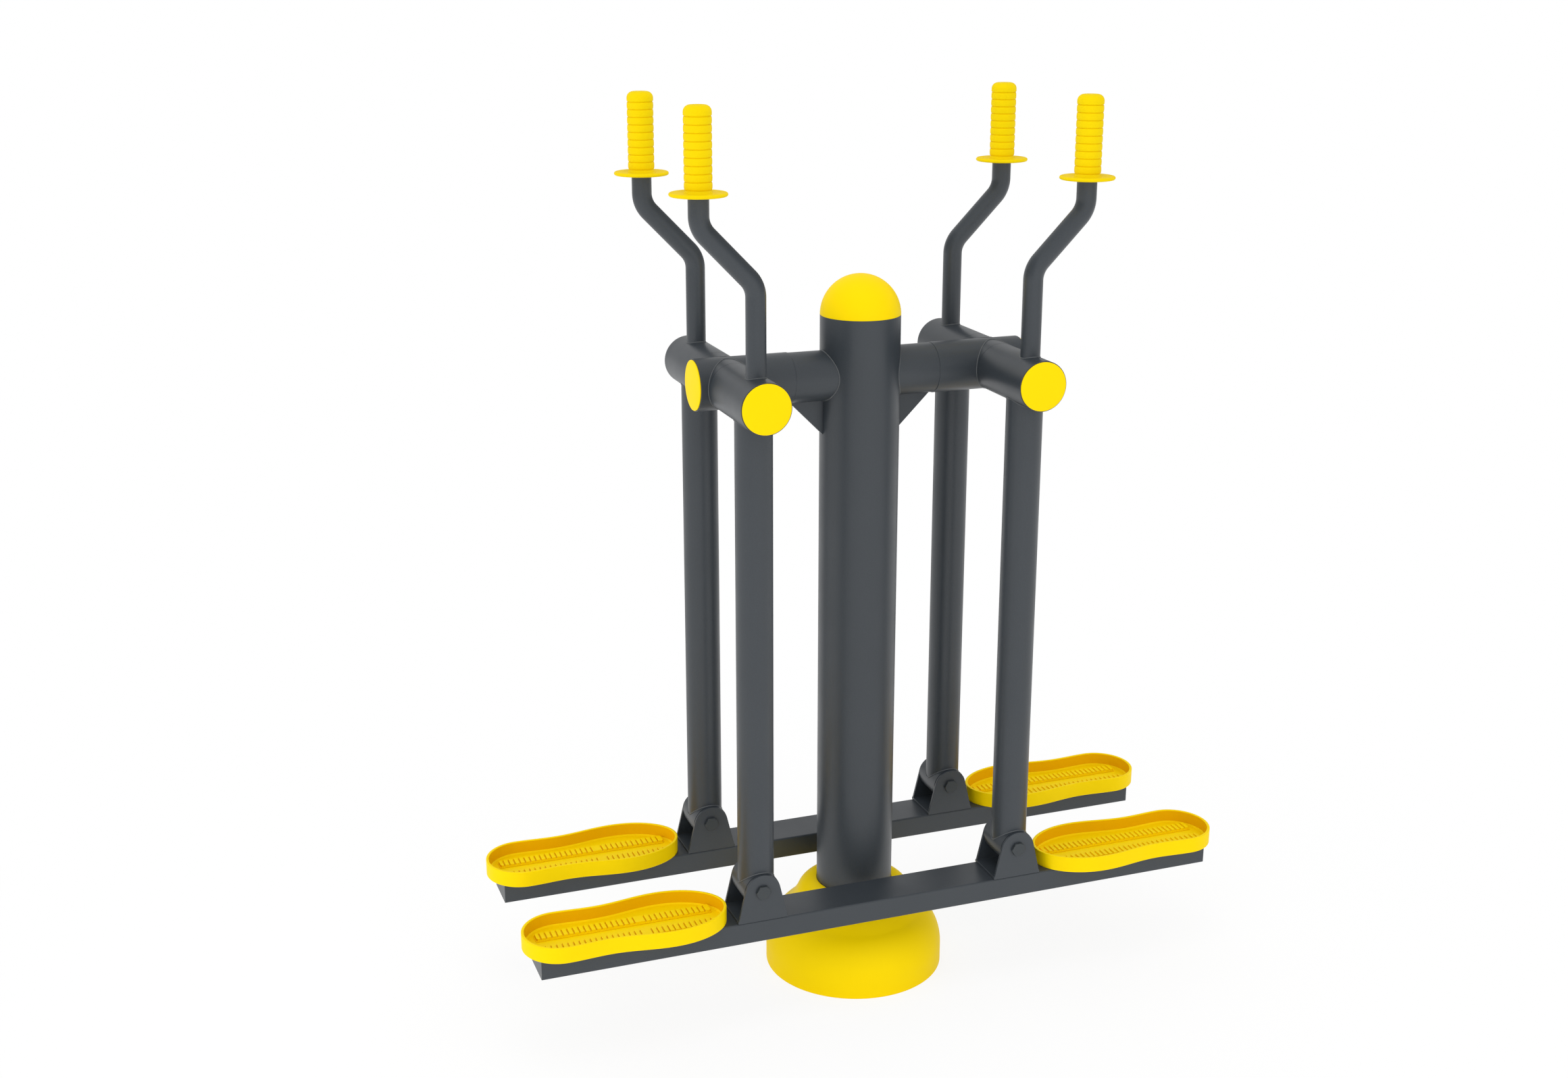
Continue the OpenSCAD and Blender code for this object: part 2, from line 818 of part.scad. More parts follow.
module pivot_bolts(row) {
    across = bolt_flats / cos(30);
    color(frame_colour)
    for (side = [LEFT, RIGHT])
        translate([side * arm_reach, row * track_y, pin_z])
        along_y() {
            translate([0, 0, -beam_w / 2 - bolt_head_h]) {
                intersection() {
                    cylinder(h = bolt_head_h, d = across, $fn = 6);
                    cylinder(h = bolt_head_h, d1 = bolt_flats, d2 = bolt_flats + 2 * bolt_head_h);
                }
                cylinder(h = bolt_head_h + beam_w + nut_h + over, d = bolt_d);
            }
            translate([0, 0, beam_w / 2]) difference() {
                cylinder(h = nut_h, d = across, $fn = 6);
                translate([0, 0, -over]) cylinder(h = nut_h + 2 * over, d = bolt_d);
            }
        }
}

// Half width of a footplate at a distance from its ball end, drawn in by an inset
function plate_half_w(x, inset) =
    let (
        ball_x = ball_share * plate_l,
        waist_x = waist_share * plate_l,
        heel_x = heel_share * plate_l,
        ball = ball_w / 2 - inset,
        waist = waist_w / 2 - inset,
        heel = heel_w / 2 - inset,
        ball_t = (ball_x - x) / (ball_x - inset),
        heel_t = (x - heel_x) / (plate_l - heel_x - inset)
    )
    x < ball_x ? ball * sqrt(max(0, 1 - ball_t * ball_t))
    : x < waist_x ? waist + (ball - waist) * (1 + cos(180 * (x - ball_x) / (waist_x - ball_x))) / 2
    : x < heel_x ? waist + (heel - waist) * (1 - cos(180 * (x - waist_x) / (heel_x - waist_x))) / 2
    : heel * sqrt(max(0, 1 - heel_t * heel_t));

// Places along a footplate at which its outline has points, closer at the ends
function plate_places(inset) =
    let (ball_x = ball_share * plate_l, waist_x = waist_share * plate_l, heel_x = heel_share * plate_l)
    concat(
        [for (i = [0 : steps - 1]) ball_x - (ball_x - inset) * cos(90 * i / steps)],
        [for (i = [0 : steps - 1]) ball_x + (waist_x - ball_x) * i / steps],
        [for (i = [0 : steps - 1]) waist_x + (heel_x - waist_x) * i / steps],
        [for (i = [0 : steps]) heel_x + (plate_l - heel_x - inset) * sin(90 * i / steps)]
    );

module plate_outline(inset) {
    places = plate_places(inset);
    last = len(places) - 1;
    polygon(concat(
        [for (x = places) [x, plate_half_w(x, inset)]],
        [for (i = [1 : last - 1]) [places[last - i], -plate_half_w(places[last - i], inset)]]
    ));
}

// Side view of a tread strip, from its heel end to its ball end
function strip_points() =
    let (
        ball_start = heel_block_l + (heel_notches - 1) * notch_pitch + mid_block_l,
        notches = concat(
            [for (i = [0 : heel_notches - 1]) heel_block_l + i * notch_pitch],
            [for (i = [0 : ball_notches - 1]) ball_start + i * notch_pitch]
        )
    )
    concat(
        [[0, -over], [0, strip_h]],
        [for (x = notches, p = [[-1, 0], [-1, 1], [1, 1], [1, 0]])
            [x + p[0] * notch_w / 2, strip_h - p[1] * notch_depth]],
        [[strip_l, strip_h], [strip_l, -over]]
    );

module footplate(side, row) {
    color(yellow_colour)
    difference() {
        translate([side * plate_x, row * track_y, beam_top_z])
        mirror([max(0, -side), 0, 0])
        union() {
            difference() {
                linear_extrude(plate_h) plate_outline(0);
                translate([0, 0, floor_t + cove_h]) linear_extrude(plate_h) plate_outline(plate_wall);
                translate([0, 0, floor_t]) linear_extrude(plate_h) plate_outline(plate_wall + cove_w);
            }
            for (y = [-strip_y, strip_y])
                translate([plate_l - strip_heel_gap, y + strip_w / 2, floor_t])
                mirror([1, 0, 0])
                rotate([90, 0, 0])
                linear_extrude(strip_w)
                polygon(strip_points());
        }
        at_screws(row) translate([0, 0, -over]) cylinder(h = thread_l + over, d = screw_d);
    }
}

module plate_screws(row) {
    color(steel_colour)
    at_screws(row) {
        translate([0, 0, -beam_wall - screw_head_h]) cylinder(h = screw_head_h, d = screw_head_d);
        translate([0, 0, -beam_wall - over]) cylinder(h = beam_wall + over + thread_l, d = screw_d);
    }
}

post();
base_flange();
base_ribs();
base_cover();
post_cap();
arm_stubs();
arm_gussets();
arm(LEFT);  // arm_left
arm(RIGHT);  // arm_right
arm_caps();
hub_shafts();
hub_collars();
hub_seals();
shaft_spacers();
lock_nuts();
bearing_inner_rings();

sleeve(LEFT, FRONT);  // sleeve_front_left
leg(LEFT, FRONT);  // leg_front_left
pivot_tube(LEFT, FRONT);  // pivot_tube_front_left
handlebar(LEFT, FRONT);  // handlebar_front_left
grip(LEFT, FRONT);  // grip_front_left
hub_cap(LEFT, FRONT);  // hub_cap_front_left
bearings(LEFT, FRONT);  // bearings_front_left
bushes(LEFT, FRONT);  // bushes_front_left

sleeve(RIGHT, FRONT);  // sleeve_front_right
leg(RIGHT, FRONT);  // leg_front_right
pivot_tube(RIGHT, FRONT);  // pivot_tube_front_right
handlebar(RIGHT, FRONT);  // handlebar_front_right
grip(RIGHT, FRONT);  // grip_front_right
hub_cap(RIGHT, FRONT);  // hub_cap_front_right
bearings(RIGHT, FRONT);  // bearings_front_right
bushes(RIGHT, FRONT);  // bushes_front_right

sleeve(LEFT, REAR);  // sleeve_rear_left
leg(LEFT, REAR);  // leg_rear_left
pivot_tube(LEFT, REAR);  // pivot_tube_rear_left
handlebar(LEFT, REAR);  // handlebar_rear_left
grip(LEFT, REAR);  // grip_rear_left
hub_cap(LEFT, REAR);  // hub_cap_rear_left
bearings(LEFT, REAR);  // bearings_rear_left
bushes(LEFT, REAR);  // bushes_rear_left

sleeve(RIGHT, REAR);  // sleeve_rear_right
leg(RIGHT, REAR);  // leg_rear_right
pivot_tube(RIGHT, REAR);  // pivot_tube_rear_right
handlebar(RIGHT, REAR);  // handlebar_rear_right
grip(RIGHT, REAR);  // grip_rear_right
hub_cap(RIGHT, REAR);  // hub_cap_rear_right
bearings(RIGHT, REAR);  // bearings_rear_right
bushes(RIGHT, REAR);  // bushes_rear_right

beam(FRONT);  // beam_front
brackets(FRONT);  // brackets_front
pivot_bolts(FRONT);  // pivot_bolts_front
footplate(LEFT, FRONT);  // footplate_front_left
footplate(RIGHT, FRONT);  // footplate_front_right
plate_screws(FRONT);  // plate_screws_front

beam(REAR);  // beam_rear
brackets(REAR);  // brackets_rear
pivot_bolts(REAR);  // pivot_bolts_rear
footplate(LEFT, REAR);  // footplate_rear_left
footplate(RIGHT, REAR);  // footplate_rear_right
plate_screws(REAR);  // plate_screws_rear
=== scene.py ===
"""Looks of an outdoor air walker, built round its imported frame.

The frame holds the pieces that carry and move. This file paints them, and models
what a person sees and touches: the base cover, the caps, the handlebars and their
grips, the footplates, the steel's softened edges and its welds, and the stage.
Each operator makes one kind of piece, and main() runs them all in order. Lengths
are in metres. The front is at -Y, the post stands on the origin, and Z is up.
"""

import math
import bmesh
import bpy
from bpy.props import (
    FloatProperty,
    FloatVectorProperty,
    IntProperty,
    PointerProperty,
)
from mathutils import Matrix, Vector


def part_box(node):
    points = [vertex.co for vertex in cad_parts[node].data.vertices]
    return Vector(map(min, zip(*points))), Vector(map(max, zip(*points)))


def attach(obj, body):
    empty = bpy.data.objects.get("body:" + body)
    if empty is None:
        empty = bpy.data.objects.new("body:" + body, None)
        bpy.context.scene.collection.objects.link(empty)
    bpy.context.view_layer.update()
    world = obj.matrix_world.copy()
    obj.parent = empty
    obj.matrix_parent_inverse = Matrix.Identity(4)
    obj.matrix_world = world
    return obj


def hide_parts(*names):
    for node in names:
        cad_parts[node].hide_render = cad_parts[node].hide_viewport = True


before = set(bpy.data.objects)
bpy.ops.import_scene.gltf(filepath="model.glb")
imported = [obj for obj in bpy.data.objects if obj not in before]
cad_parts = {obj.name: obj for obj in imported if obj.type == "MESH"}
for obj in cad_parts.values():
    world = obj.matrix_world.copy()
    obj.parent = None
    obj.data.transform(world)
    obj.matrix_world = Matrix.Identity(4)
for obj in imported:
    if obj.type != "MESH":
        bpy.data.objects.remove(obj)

bl_info = {
    "name": "Outdoor air walker",
    "version": (1, 0, 0),
    "blender": (4, 5, 0),
    "location": "3D View > Sidebar > Air walker",
    "description": "Dresses the frame of an outdoor air walker and sets its stage",
    "category": "Object",
}

SIDES = {"left": -1, "right": 1}
ROWS = {"front": -1, "rear": 1}
QUARTERS = [(row, side) for row in ROWS for side in SIDES]

# Steps round a turned piece, along one of its curves, and in a handlebar's bend
TURN_STEPS = 128
CURVE_STEPS = 24
BEND_STEPS = 14
BAR_SIDES = 64
# Steps along a grip's ring, and in the fillet under the first ring
RING_STEPS = 12
FILLET_STEPS = 6
# Points round a footplate's outline
PLATE_POINTS = 224
# Steps across the radius on an edge, a footplate's lip, a strip's corners, a rib and the
# corners of a bolt's head
EDGE_STEPS = 3
LIP_STEPS = 5
BLOCK_STEPS = 6
RIB_STEPS = 2
HEX_STEPS = 4
# Cuts in each quarter of a weld bead's circle, and the fineness of its curve and section
BEAD_CUTS = 23
BEAD_STEPS = 2
BEAD_SECTION = 3
# Closest distance between two points of one mesh
MERGE = 1e-6
# Shares of the steel's edge radius that the sleeves have, cut close at their running gaps,
# and the beams
SLEEVE_EDGE = 0.25
BEAM_EDGE = 0.5
# Attribute that says where shade is painted on a footplate or a grip
PAINTED_SHADE = "dirt"
# Angle up to which faces are one flat face, and angle past which an edge shows as an edge
FLAT = math.radians(0.5)
SHARP = math.radians(32)
# Part of a unit normal past which a face counts as facing that way
FACING = 0.5
# How much a large face outweighs the small ones beside it in the shading, up to 100
FLATNESS = 80
# Part of the clouds' noise over which a finish goes from its lower roughness to its upper
CLOUD_LOW = 0.3
CLOUD_HIGH = 0.7
# Width of the studio's floor
STUDIO_W = 60
# Distances from the post between which the floor's shadow fades, and the share of pure
# white in the floor near the post
SHADOW_NEAR = 0.6
SHADOW_FAR = 1.8
NEAR_WHITE = 0.85
# Sideways parts of a direction between which the studio in reflections darkens
SIDE_START = 0.35
SIDE_END = 0.85
# Each lamp's place, the point it faces, its width and height, and its power's setting
LAMPS = {
    "front_light": ((1.0, -4.2, 1.4), (0, 0, 0.7), (4, 2.6), "front_power"),
    "left_light": ((-4.2, -0.9, 1.1), (0, 0, 0.5), (4, 2.2), "left_power"),
    "top_light": ((-0.4, -0.8, 4.2), (0, 0, 0.8), (1.6, 1.6), "top_power"),
}


def linear(code):
    """Linear colour of an sRGB hex code."""
    parts = [int(code[i:i + 2], 16) / 255 for i in (1, 3, 5)]
    return [c / 12.92 if c <= 0.04045 else ((c + 0.055) / 1.055) ** 2.4 for c in parts]


# What the user may change

def metres(name, description, default):
    """Property that holds a length."""
    return FloatProperty(name=name, description=description, default=default, unit="LENGTH")


def degrees(name, description, default):
    """Property that holds an angle, given in degrees."""
    return FloatProperty(
        name=name, description=description, default=math.radians(default), unit="ROTATION")


def watts(name, description, default):
    """Property that holds a lamp's power."""
    return FloatProperty(name=name, description=description, default=default, unit="POWER")


def tint(name, description, code):
    """Property that holds a colour, given as an sRGB hex code."""
    return FloatVectorProperty(
        name=name, description=description, default=linear(code), subtype="COLOR", min=0, max=1)


def share(name, description, default):
    """Property that holds a share of one."""
    return FloatProperty(
        name=name, description=description, default=default, subtype="FACTOR", min=0, max=1)


class WalkerColours(bpy.types.PropertyGroup):
    """Colours of the finishes."""

    steel: tint("Steel coat", "Powder coat on the tubes, beams and brackets", "#353b41")
    # Paler coat on the weld beads: a painted highlight
    weld: tint("Weld coat", "Powder coat where it is rubbed on the weld beads", "#575b5e")
    yellow: tint("Mouldings", "Covers, caps and footplates", "#f9d700")
    # Deeper amber painted in the footplates' recesses as painted shade
    tray_painted_shade: tint("Trodden mouldings", "Footplates where shoes rub and dirt stays", "#e6b200")
    grip: tint("Grips", "Soft grips with their discs", "#ecce00")
    # Darker colour painted in the grips' grooves as painted shade
    groove: tint("Grip grooves", "Grooves between a grip's rings, where dirt stays", "#e8c400")
    bolt: tint("Pivot bolts", "Black zinc on the bolts and nuts", "#3c4144")
    bearing: tint("Bearing steel", "Shafts, spacers, lock nuts and bearings", "#c3c6c8")
    nylon: tint("Nylon", "Bushes in the pivot tubes", "#e6e1d3")
    rubber: tint("Rubber", "Dust seals in the hubs", "#1b1b1d")
    zinc: tint("Zinc", "Screws under the footplates", "#c9cdd0")


class WalkerBellSizes(bpy.types.PropertyGroup):
    """Sizes of the bell-shaped base cover."""

    height: metres("Height", "Height at which the neck's curve would close", 0.165)
    wall: metres("Wall", "Wall of the cover", 0.003)
    skirt: metres("Skirt", "Height of the straight skirt", 0.035)
    shoulder_reach: metres("Shoulder reach", "How far the shoulder curves inwards", 0.090)
    shoulder_rise: metres("Shoulder rise", "How far the shoulder curves upwards", 0.090)
    shoulder_end: degrees("Shoulder end", "Angle at which the shoulder's curve ends", 52)
    neck_r: metres("Neck radius", "Largest radius of the neck", 0.109)
    neck_reach: metres("Neck reach", "How far the neck curves inwards", 0.040)
    neck_rise: metres("Neck rise", "How far the neck curves upwards", 0.038)
    neck_start: degrees("Neck start", "Angle at which the neck's curve starts", 20)
    blend: metres("Blend", "How far the curve between shoulder and neck leans on them", 0.010)
    clearance: metres("Clearance", "Gap round the post", 0.0003)
    edge: metres("Edge radius", "Radius on the cover's edges", 0.001)


class WalkerCapSizes(bpy.types.PropertyGroup):
    """Sizes of the dome on the post and of the caps in the tubes."""

    dome_wall: metres("Dome wall", "Wall of the dome", 0.003)
    dome_plug: metres("Dome plug", "Depth of the dome's plug", 0.030)
    crown: metres("Crown", "Height of a cap's crown", 0.0025)
    rim: metres("Rim", "Height of a cap's rim", 0.0015)
    plug: metres("Plug", "Depth of a cap's plug", 0.012)
    plug_wall: metres("Plug wall", "Wall of the plugs", 0.003)
    clearance: metres("Clearance", "Gap between a plug and its tube", 0.0003)
    edge: metres("Edge radius", "Radius on the caps' edges", 0.0006)


class WalkerBarSizes(bpy.types.PropertyGroup):
    """Sizes of the handlebars and grips."""

    wall: metres("Tube wall", "Wall of a handlebar", 0.003)
    rise: metres("Lower bend", "Height of the lower bend above the hub's axis", 0.190)
    out_rise: metres("Bend rise", "Height between the two bends", 0.096)
    bend_r: metres("Bend radius", "Radius of the bends' centre line", 0.045)
    grip_d: metres("Grip diameter", "Diameter of a grip's rings", 0.0447)
    disc_t: metres("Disc", "Thickness of the disc under a grip", 0.006)
    rings: IntProperty(
        name="Rings", description="Number of rings on a grip", default=9, min=1)
    groove: metres("Groove", "Depth of the grooves between the rings", 0.0016)
    ring_swell: share("Ring swell", "How evenly a ring swells: 1 is round, 0 is flat", 0.3)
    foot: metres("Foot", "Height of a grip's foot, disc included", 0.010)
    head: metres("Head", "Height of a grip's plain head", 0.017)
    top_r: metres("Top radius", "Radius round a grip's top edge", 0.011)
    top_t: metres("Closed top", "Thickness of a grip's closed top", 0.012)
    clearance: metres("Clearance", "Gap between a grip and its tube", 0.0003)


class WalkerPlateSizes(bpy.types.PropertyGroup):
    """Sizes of the shoe-shaped footplates."""

    wall: metres("Wall", "Thickness of the raised wall", 0.005)
    lip: metres("Lip radius", "Radius on the wall's top edges", 0.0012)
    floor_t: metres("Floor", "Thickness of the floor", 0.0045)
    cove_w: metres("Cove width", "Width of the cove round the floor", 0.003)
    cove_h: metres("Cove height", "Height of the cove round the floor", 0.002)
    waist_w: metres("Waist", "Width across the waist", 0.125)
    heel_w: metres("Heel", "Width across the heel", 0.133)
    ball_share: share("Ball place", "Place of the ball as a share of the length", 0.3)
    waist_share: share("Waist place", "Place of the waist as a share of the length", 0.615)
    heel_share: share("Heel place", "Place of the heel as a share of the length", 0.82)
    strip_w: metres("Strip width", "Width of a tread strip", 0.022)
    strip_h: metres("Strip height", "Height of a tread strip", 0.0055)
    ledge_w: metres("Ledge width", "Width of the low ledge that a strip stands on", 0.0255)
    ledge_h: metres("Ledge height", "Height of the ledge", 0.0012)
    strip_y: metres("Strip place", "Distance from the centre line to a strip's middle", 0.024)
    ball_gap: metres("Ball gap", "Distance from the ball end to the strips", 0.022)
    heel_gap: metres("Heel gap", "Distance from the heel end to the strips", 0.028)
    notch_w: metres("Notch width", "Width of a notch in the left trays", 0.0024)
    right_notch_w: metres("Right notch width", "Width of a notch in the right trays", 0.0038)
    notch_depth: metres("Notch depth", "Depth of a notch", 0.0025)
    heel_notches: IntProperty(
        name="Heel notches", description="Notches under the heel", default=18, min=2)
    ball_notches: IntProperty(
        name="Ball notches", description="Notches under the ball of the foot", default=12, min=2)
    heel_block: metres("Heel block", "Plain length at a strip's heel end", 0.0073)
    mid_block: metres("Middle block", "Plain length between a strip's notches", 0.020)
    ball_block: metres("Ball block", "Plain length at a strip's ball end", 0.011)
    right_out: metres("Right strips", "How much farther out the right trays' strips lie", 0.004)
    block_r: metres("Block radius", "Radius on the strips' end corners", 0.004)
    rib_r: metres("Rib radius", "Radius on the ribs' edges", 0.0005)


class WalkerSteelSizes(bpy.types.PropertyGroup):
    """Sizes of the steel's edges and welds."""

    edge: metres("Edge radius", "Radius that the coat leaves on cut edges", 0.0011)
    corner: metres("Bolt corners", "Radius on the corners of the bolts' heads and nuts", 0.005)
    weld_r: metres("Weld radius", "Radius of the weld beads", 0.0012)


class WalkerStage(bpy.types.PropertyGroup):
    """Camera, floor and light."""

    floor: tint("Floor", "Colour of the floor", "#fafafa")
    azimuth: degrees("Azimuth", "Direction of the camera from the front", -20.04)
    elevation: degrees("Elevation", "Height of the camera above the horizon", 17.05)
    target: FloatVectorProperty(
        name="Target", description="Point that the camera looks at",
        default=(-0.13989, 0, 0.84307), subtype="TRANSLATION")
    distance: metres("Distance", "Distance from the camera to the target", 3.33668)
    lens: FloatProperty(
        name="Lens", description="Focal length on a 36 mm sensor", default=43.66, unit="CAMERA")
    front_power: watts("Front light", "Power of the large soft light in front", 24)
    left_power: watts("Left light", "Power of the large soft light on the left", 40)
    top_power: watts("Top light", "Power of the soft light above", 16)
    fill: share("Fill", "Strength of the even light from all round", 0.95)
    side: share("Side", "Brightness of the studio's sides in reflections", 0.22)


GROUPS = {
    "walker_colours": WalkerColours,
    "walker_bell": WalkerBellSizes,
    "walker_caps": WalkerCapSizes,
    "walker_bars": WalkerBarSizes,
    "walker_plates": WalkerPlateSizes,
    "walker_steel": WalkerSteelSizes,
    "walker_stage": WalkerStage,
}


# Places that the frame gives

def middle(node):
    """Middle of a frame node's box."""
    lo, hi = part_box(node)
    return (lo + hi) / 2


def extent(node):
    """Lengths of a frame node's box."""
    lo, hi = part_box(node)
    return hi - lo


def tube_wall(node):
    """Wall of a straight tube, from its outer and inner radius at an end."""
    points = [v.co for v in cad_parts[node].data.vertices]
    axis = middle(node)
    lengths = extent(node)
    along = max(range(3), key=lambda i: lengths[i])
    across = [i for i in range(3) if i != along]
    radii = [math.hypot(*(p[i] - axis[i] for i in across)) for p in points]
    return max(radii) - min(radii)


def quarter_matrix(row, side):
    """Mirrors a piece made for the right rear quarter to another quarter."""
    return Matrix.Diagonal((SIDES[side], ROWS[row], 1, 1))


# Modelling by hand

def select_only(piece):
    """Leaves one object selected and active."""
    bpy.ops.object.select_all(action="DESELECT")
    piece.select_set(True)
    bpy.context.view_layer.objects.active = piece


def named(name):
    """Names the active object and its mesh, and returns the object."""
    piece = bpy.context.object
    piece.name = name
    piece.data.name = name
    return piece


def choose_edges(piece, test):
    """Selects in edit mode just the edges that pass a test."""
    bpy.ops.mesh.select_all(action="DESELECT")
    bpy.ops.mesh.select_mode(type="EDGE")
    mesh = bmesh.from_edit_mesh(piece.data)
    for edge in mesh.edges:
        edge.select_set(test(edge))
    mesh.select_flush_mode()
    bmesh.update_edit_mesh(piece.data)


def is_sharp(edge):
    """Says whether an edge shows as an edge."""
    return edge.calc_face_angle(0) > SHARP


def span(edge):
    """Way from one end of an edge to the other."""
    return edge.verts[1].co - edge.verts[0].co


def bevel_edges(piece, radius, steps, test, clamp=False):
    """Rounds in edit mode just the edges that pass a test."""
    choose_edges(piece, test)
    bpy.ops.mesh.bevel(offset=radius, segments=steps, affect="EDGES", clamp_overlap=clamp)


def clean():
    """Merges doubled points in edit mode and turns every face outwards."""
    bpy.ops.mesh.select_all(action="SELECT")
    bpy.ops.mesh.remove_doubles(threshold=MERGE)
    bpy.ops.mesh.normals_make_consistent(inside=False)


def modified(piece, kind, **settings):
    """Adds a modifier with its settings and applies it."""
    select_only(piece)
    modifier = piece.modifiers.new(kind.title(), kind)
    for key, value in settings.items():
        setattr(modifier, key, value)
    bpy.ops.object.modifier_apply(modifier=modifier.name)


def rounded(piece, radius, steps):
    """Rounds every real edge of a piece."""
    modified(piece, "BEVEL", width=radius, segments=steps, limit_method="ANGLE", angle_limit=SHARP)


def smoothed(piece):
    """Shades a piece smooth between its real edges."""
    select_only(piece)
    bpy.ops.object.shade_smooth_by_angle(angle=SHARP)
    return piece


def drawn(name, points):
    """Closed outline, drawn by one point that is extruded from place to place. It is left
    selected, in edit mode."""
    bpy.ops.object.select_all(action="DESELECT")
    bpy.ops.mesh.primitive_plane_add(location=(0, 0, 0))
    piece = named(name)
    bpy.ops.object.mode_set(mode="EDIT")
    bpy.ops.mesh.select_mode(type="VERT")
    bpy.ops.mesh.merge(type="CENTER")
    places = [Vector(point) for point in points]
    bpy.ops.transform.translate(value=places[0])
    for here, there in zip(places, places[1:] + places[:1]):
        extrude(there - here)
    bpy.ops.mesh.select_all(action="SELECT")
    bpy.ops.mesh.remove_doubles(threshold=MERGE)
    return piece


def extrude(way):
    """Extrudes what is selected along a way."""
    bpy.ops.mesh.extrude_region_move(TRANSFORM_OT_translate={"value": way})


def turned(name, outline, edge=0):
    """Piece turned about Z from a closed outline of (radius, height) points. An edge of
    the outline that lies on the axis is left out, so that the piece closes at its poles."""
    piece = drawn(name, [(r, 0, z) for r, z in outline])
    choose_edges(piece, lambda e: all(abs(v.co.x) < MERGE for v in e.verts))
    bpy.ops.mesh.delete(type="EDGE")
    bpy.ops.mesh.select_all(action="SELECT")
    bpy.ops.mesh.spin(steps=TURN_STEPS, angle=math.tau, center=(0, 0, 0), axis=(0, 0, 1))
    clean()
    bpy.ops.object.mode_set(mode="OBJECT")
    if edge:
        rounded(piece, edge, EDGE_STEPS)
    return smoothed(piece)


def copied(master, name, matrix):
    """Copy of a piece with its own mesh, moved, turned or mirrored by a matrix."""
    piece = master.copy()
    piece.data = master.data.copy()
    piece.name = name
    piece.data.name = name
    piece.data.transform(matrix)
    if matrix.determinant() < 0:
        piece.data.flip_normals()
    bpy.context.collection.objects.link(piece)
    return piece


def joined(name, pieces):
    """Makes several pieces one object."""
    bpy.ops.object.select_all(action="DESELECT")
    for piece in pieces:
        piece.select_set(True)
    bpy.context.view_layer.objects.active = pieces[0]
    bpy.ops.object.join()
    return named(name)


def softened(node, name, width, test=lambda co: True, corner=0):
    """Copy of a frame node with a small radius on the sharp edges that pass a test, and a
    larger one on the corners of a hexagon round Y, if it has such corners."""
    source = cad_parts[node]
    piece = bpy.data.objects.new(name, source.data.copy())
    piece.data.name = name
    piece.data.materials.clear()
    bpy.context.collection.objects.link(piece)
    select_only(piece)
    bpy.ops.mesh.customdata_custom_splitnormals_clear()
    bpy.ops.object.mode_set(mode="EDIT")
    clean()
    bpy.ops.mesh.dissolve_limited(angle_limit=FLAT)
    if corner:
        bevel_edges(piece, corner, HEX_STEPS,
                    lambda e: is_sharp(e) and abs(span(e).y) > e.calc_length() - MERGE, clamp=True)
    bevel_edges(piece, width, EDGE_STEPS,
                lambda e: is_sharp(e) and all(test(v.co) for v in e.verts), clamp=True)
    bpy.ops.object.mode_set(mode="OBJECT")
    return smoothed(piece)


def placed(piece, body, slot, finish, *nodes):
    """Keeps a finished piece's flat faces flat to the eye beside its small radii, gives it its
    material and its body, and hides the frame nodes that it stands for."""
    modified(piece, "WEIGHTED_NORMAL", keep_sharp=True, weight=FLATNESS)
    piece.data.materials.clear()
    piece.data.materials.append(material_of(finish))
    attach(piece, body)
    if nodes:
        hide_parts(*nodes)


def quartered(*kinds):
    """Places copies of pieces made for the right rear quarter on every swinging arm, and
    removes the pieces themselves. A kind is a piece with its name, its seat, its slot, its
    finish and the kinds of nodes that it stands for."""
    for row, side in QUARTERS:
        for piece, name, seat, slot, finish, *nodes in kinds:
            part = copied(piece, f"{name}_{row}_{side}", quarter_matrix(row, side) @ seat)
            nodes = [f"{node}_{row}_{side}" for node in nodes]
            placed(part, f"{row}_{side}_arm", slot, finish, *nodes)
    for piece, *_ in kinds:
        bpy.data.objects.remove(piece)


def mark_painted_shade(piece, test):
    """Marks the faces that pass a test as ones where shade is painted."""
    dirt = piece.data.attributes.new(PAINTED_SHADE, "FLOAT", "FACE")
    for face in piece.data.polygons:
        dirt.data[face.index].value = float(test(face))


def paint_nodes(finish, *nodes):
    """Gives frame nodes that stay in view their material."""
    for node in nodes:
        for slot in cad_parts[node].material_slots:
            slot.material = material_of(finish)


# Materials

# Moulded polyethylene, coloured through: a waxy satin skin with a fine moulded grain
POLYETHYLENE = {
    "colour": "yellow", "grain_mm": 1.4, "grain_depth_mm": 0.02, "shade": 0.04, "cloud_mm": 70,
    "roughness": (0.42, 0.54), "shader": {"IOR": 1.51, "Specular IOR Level": 0.06}}
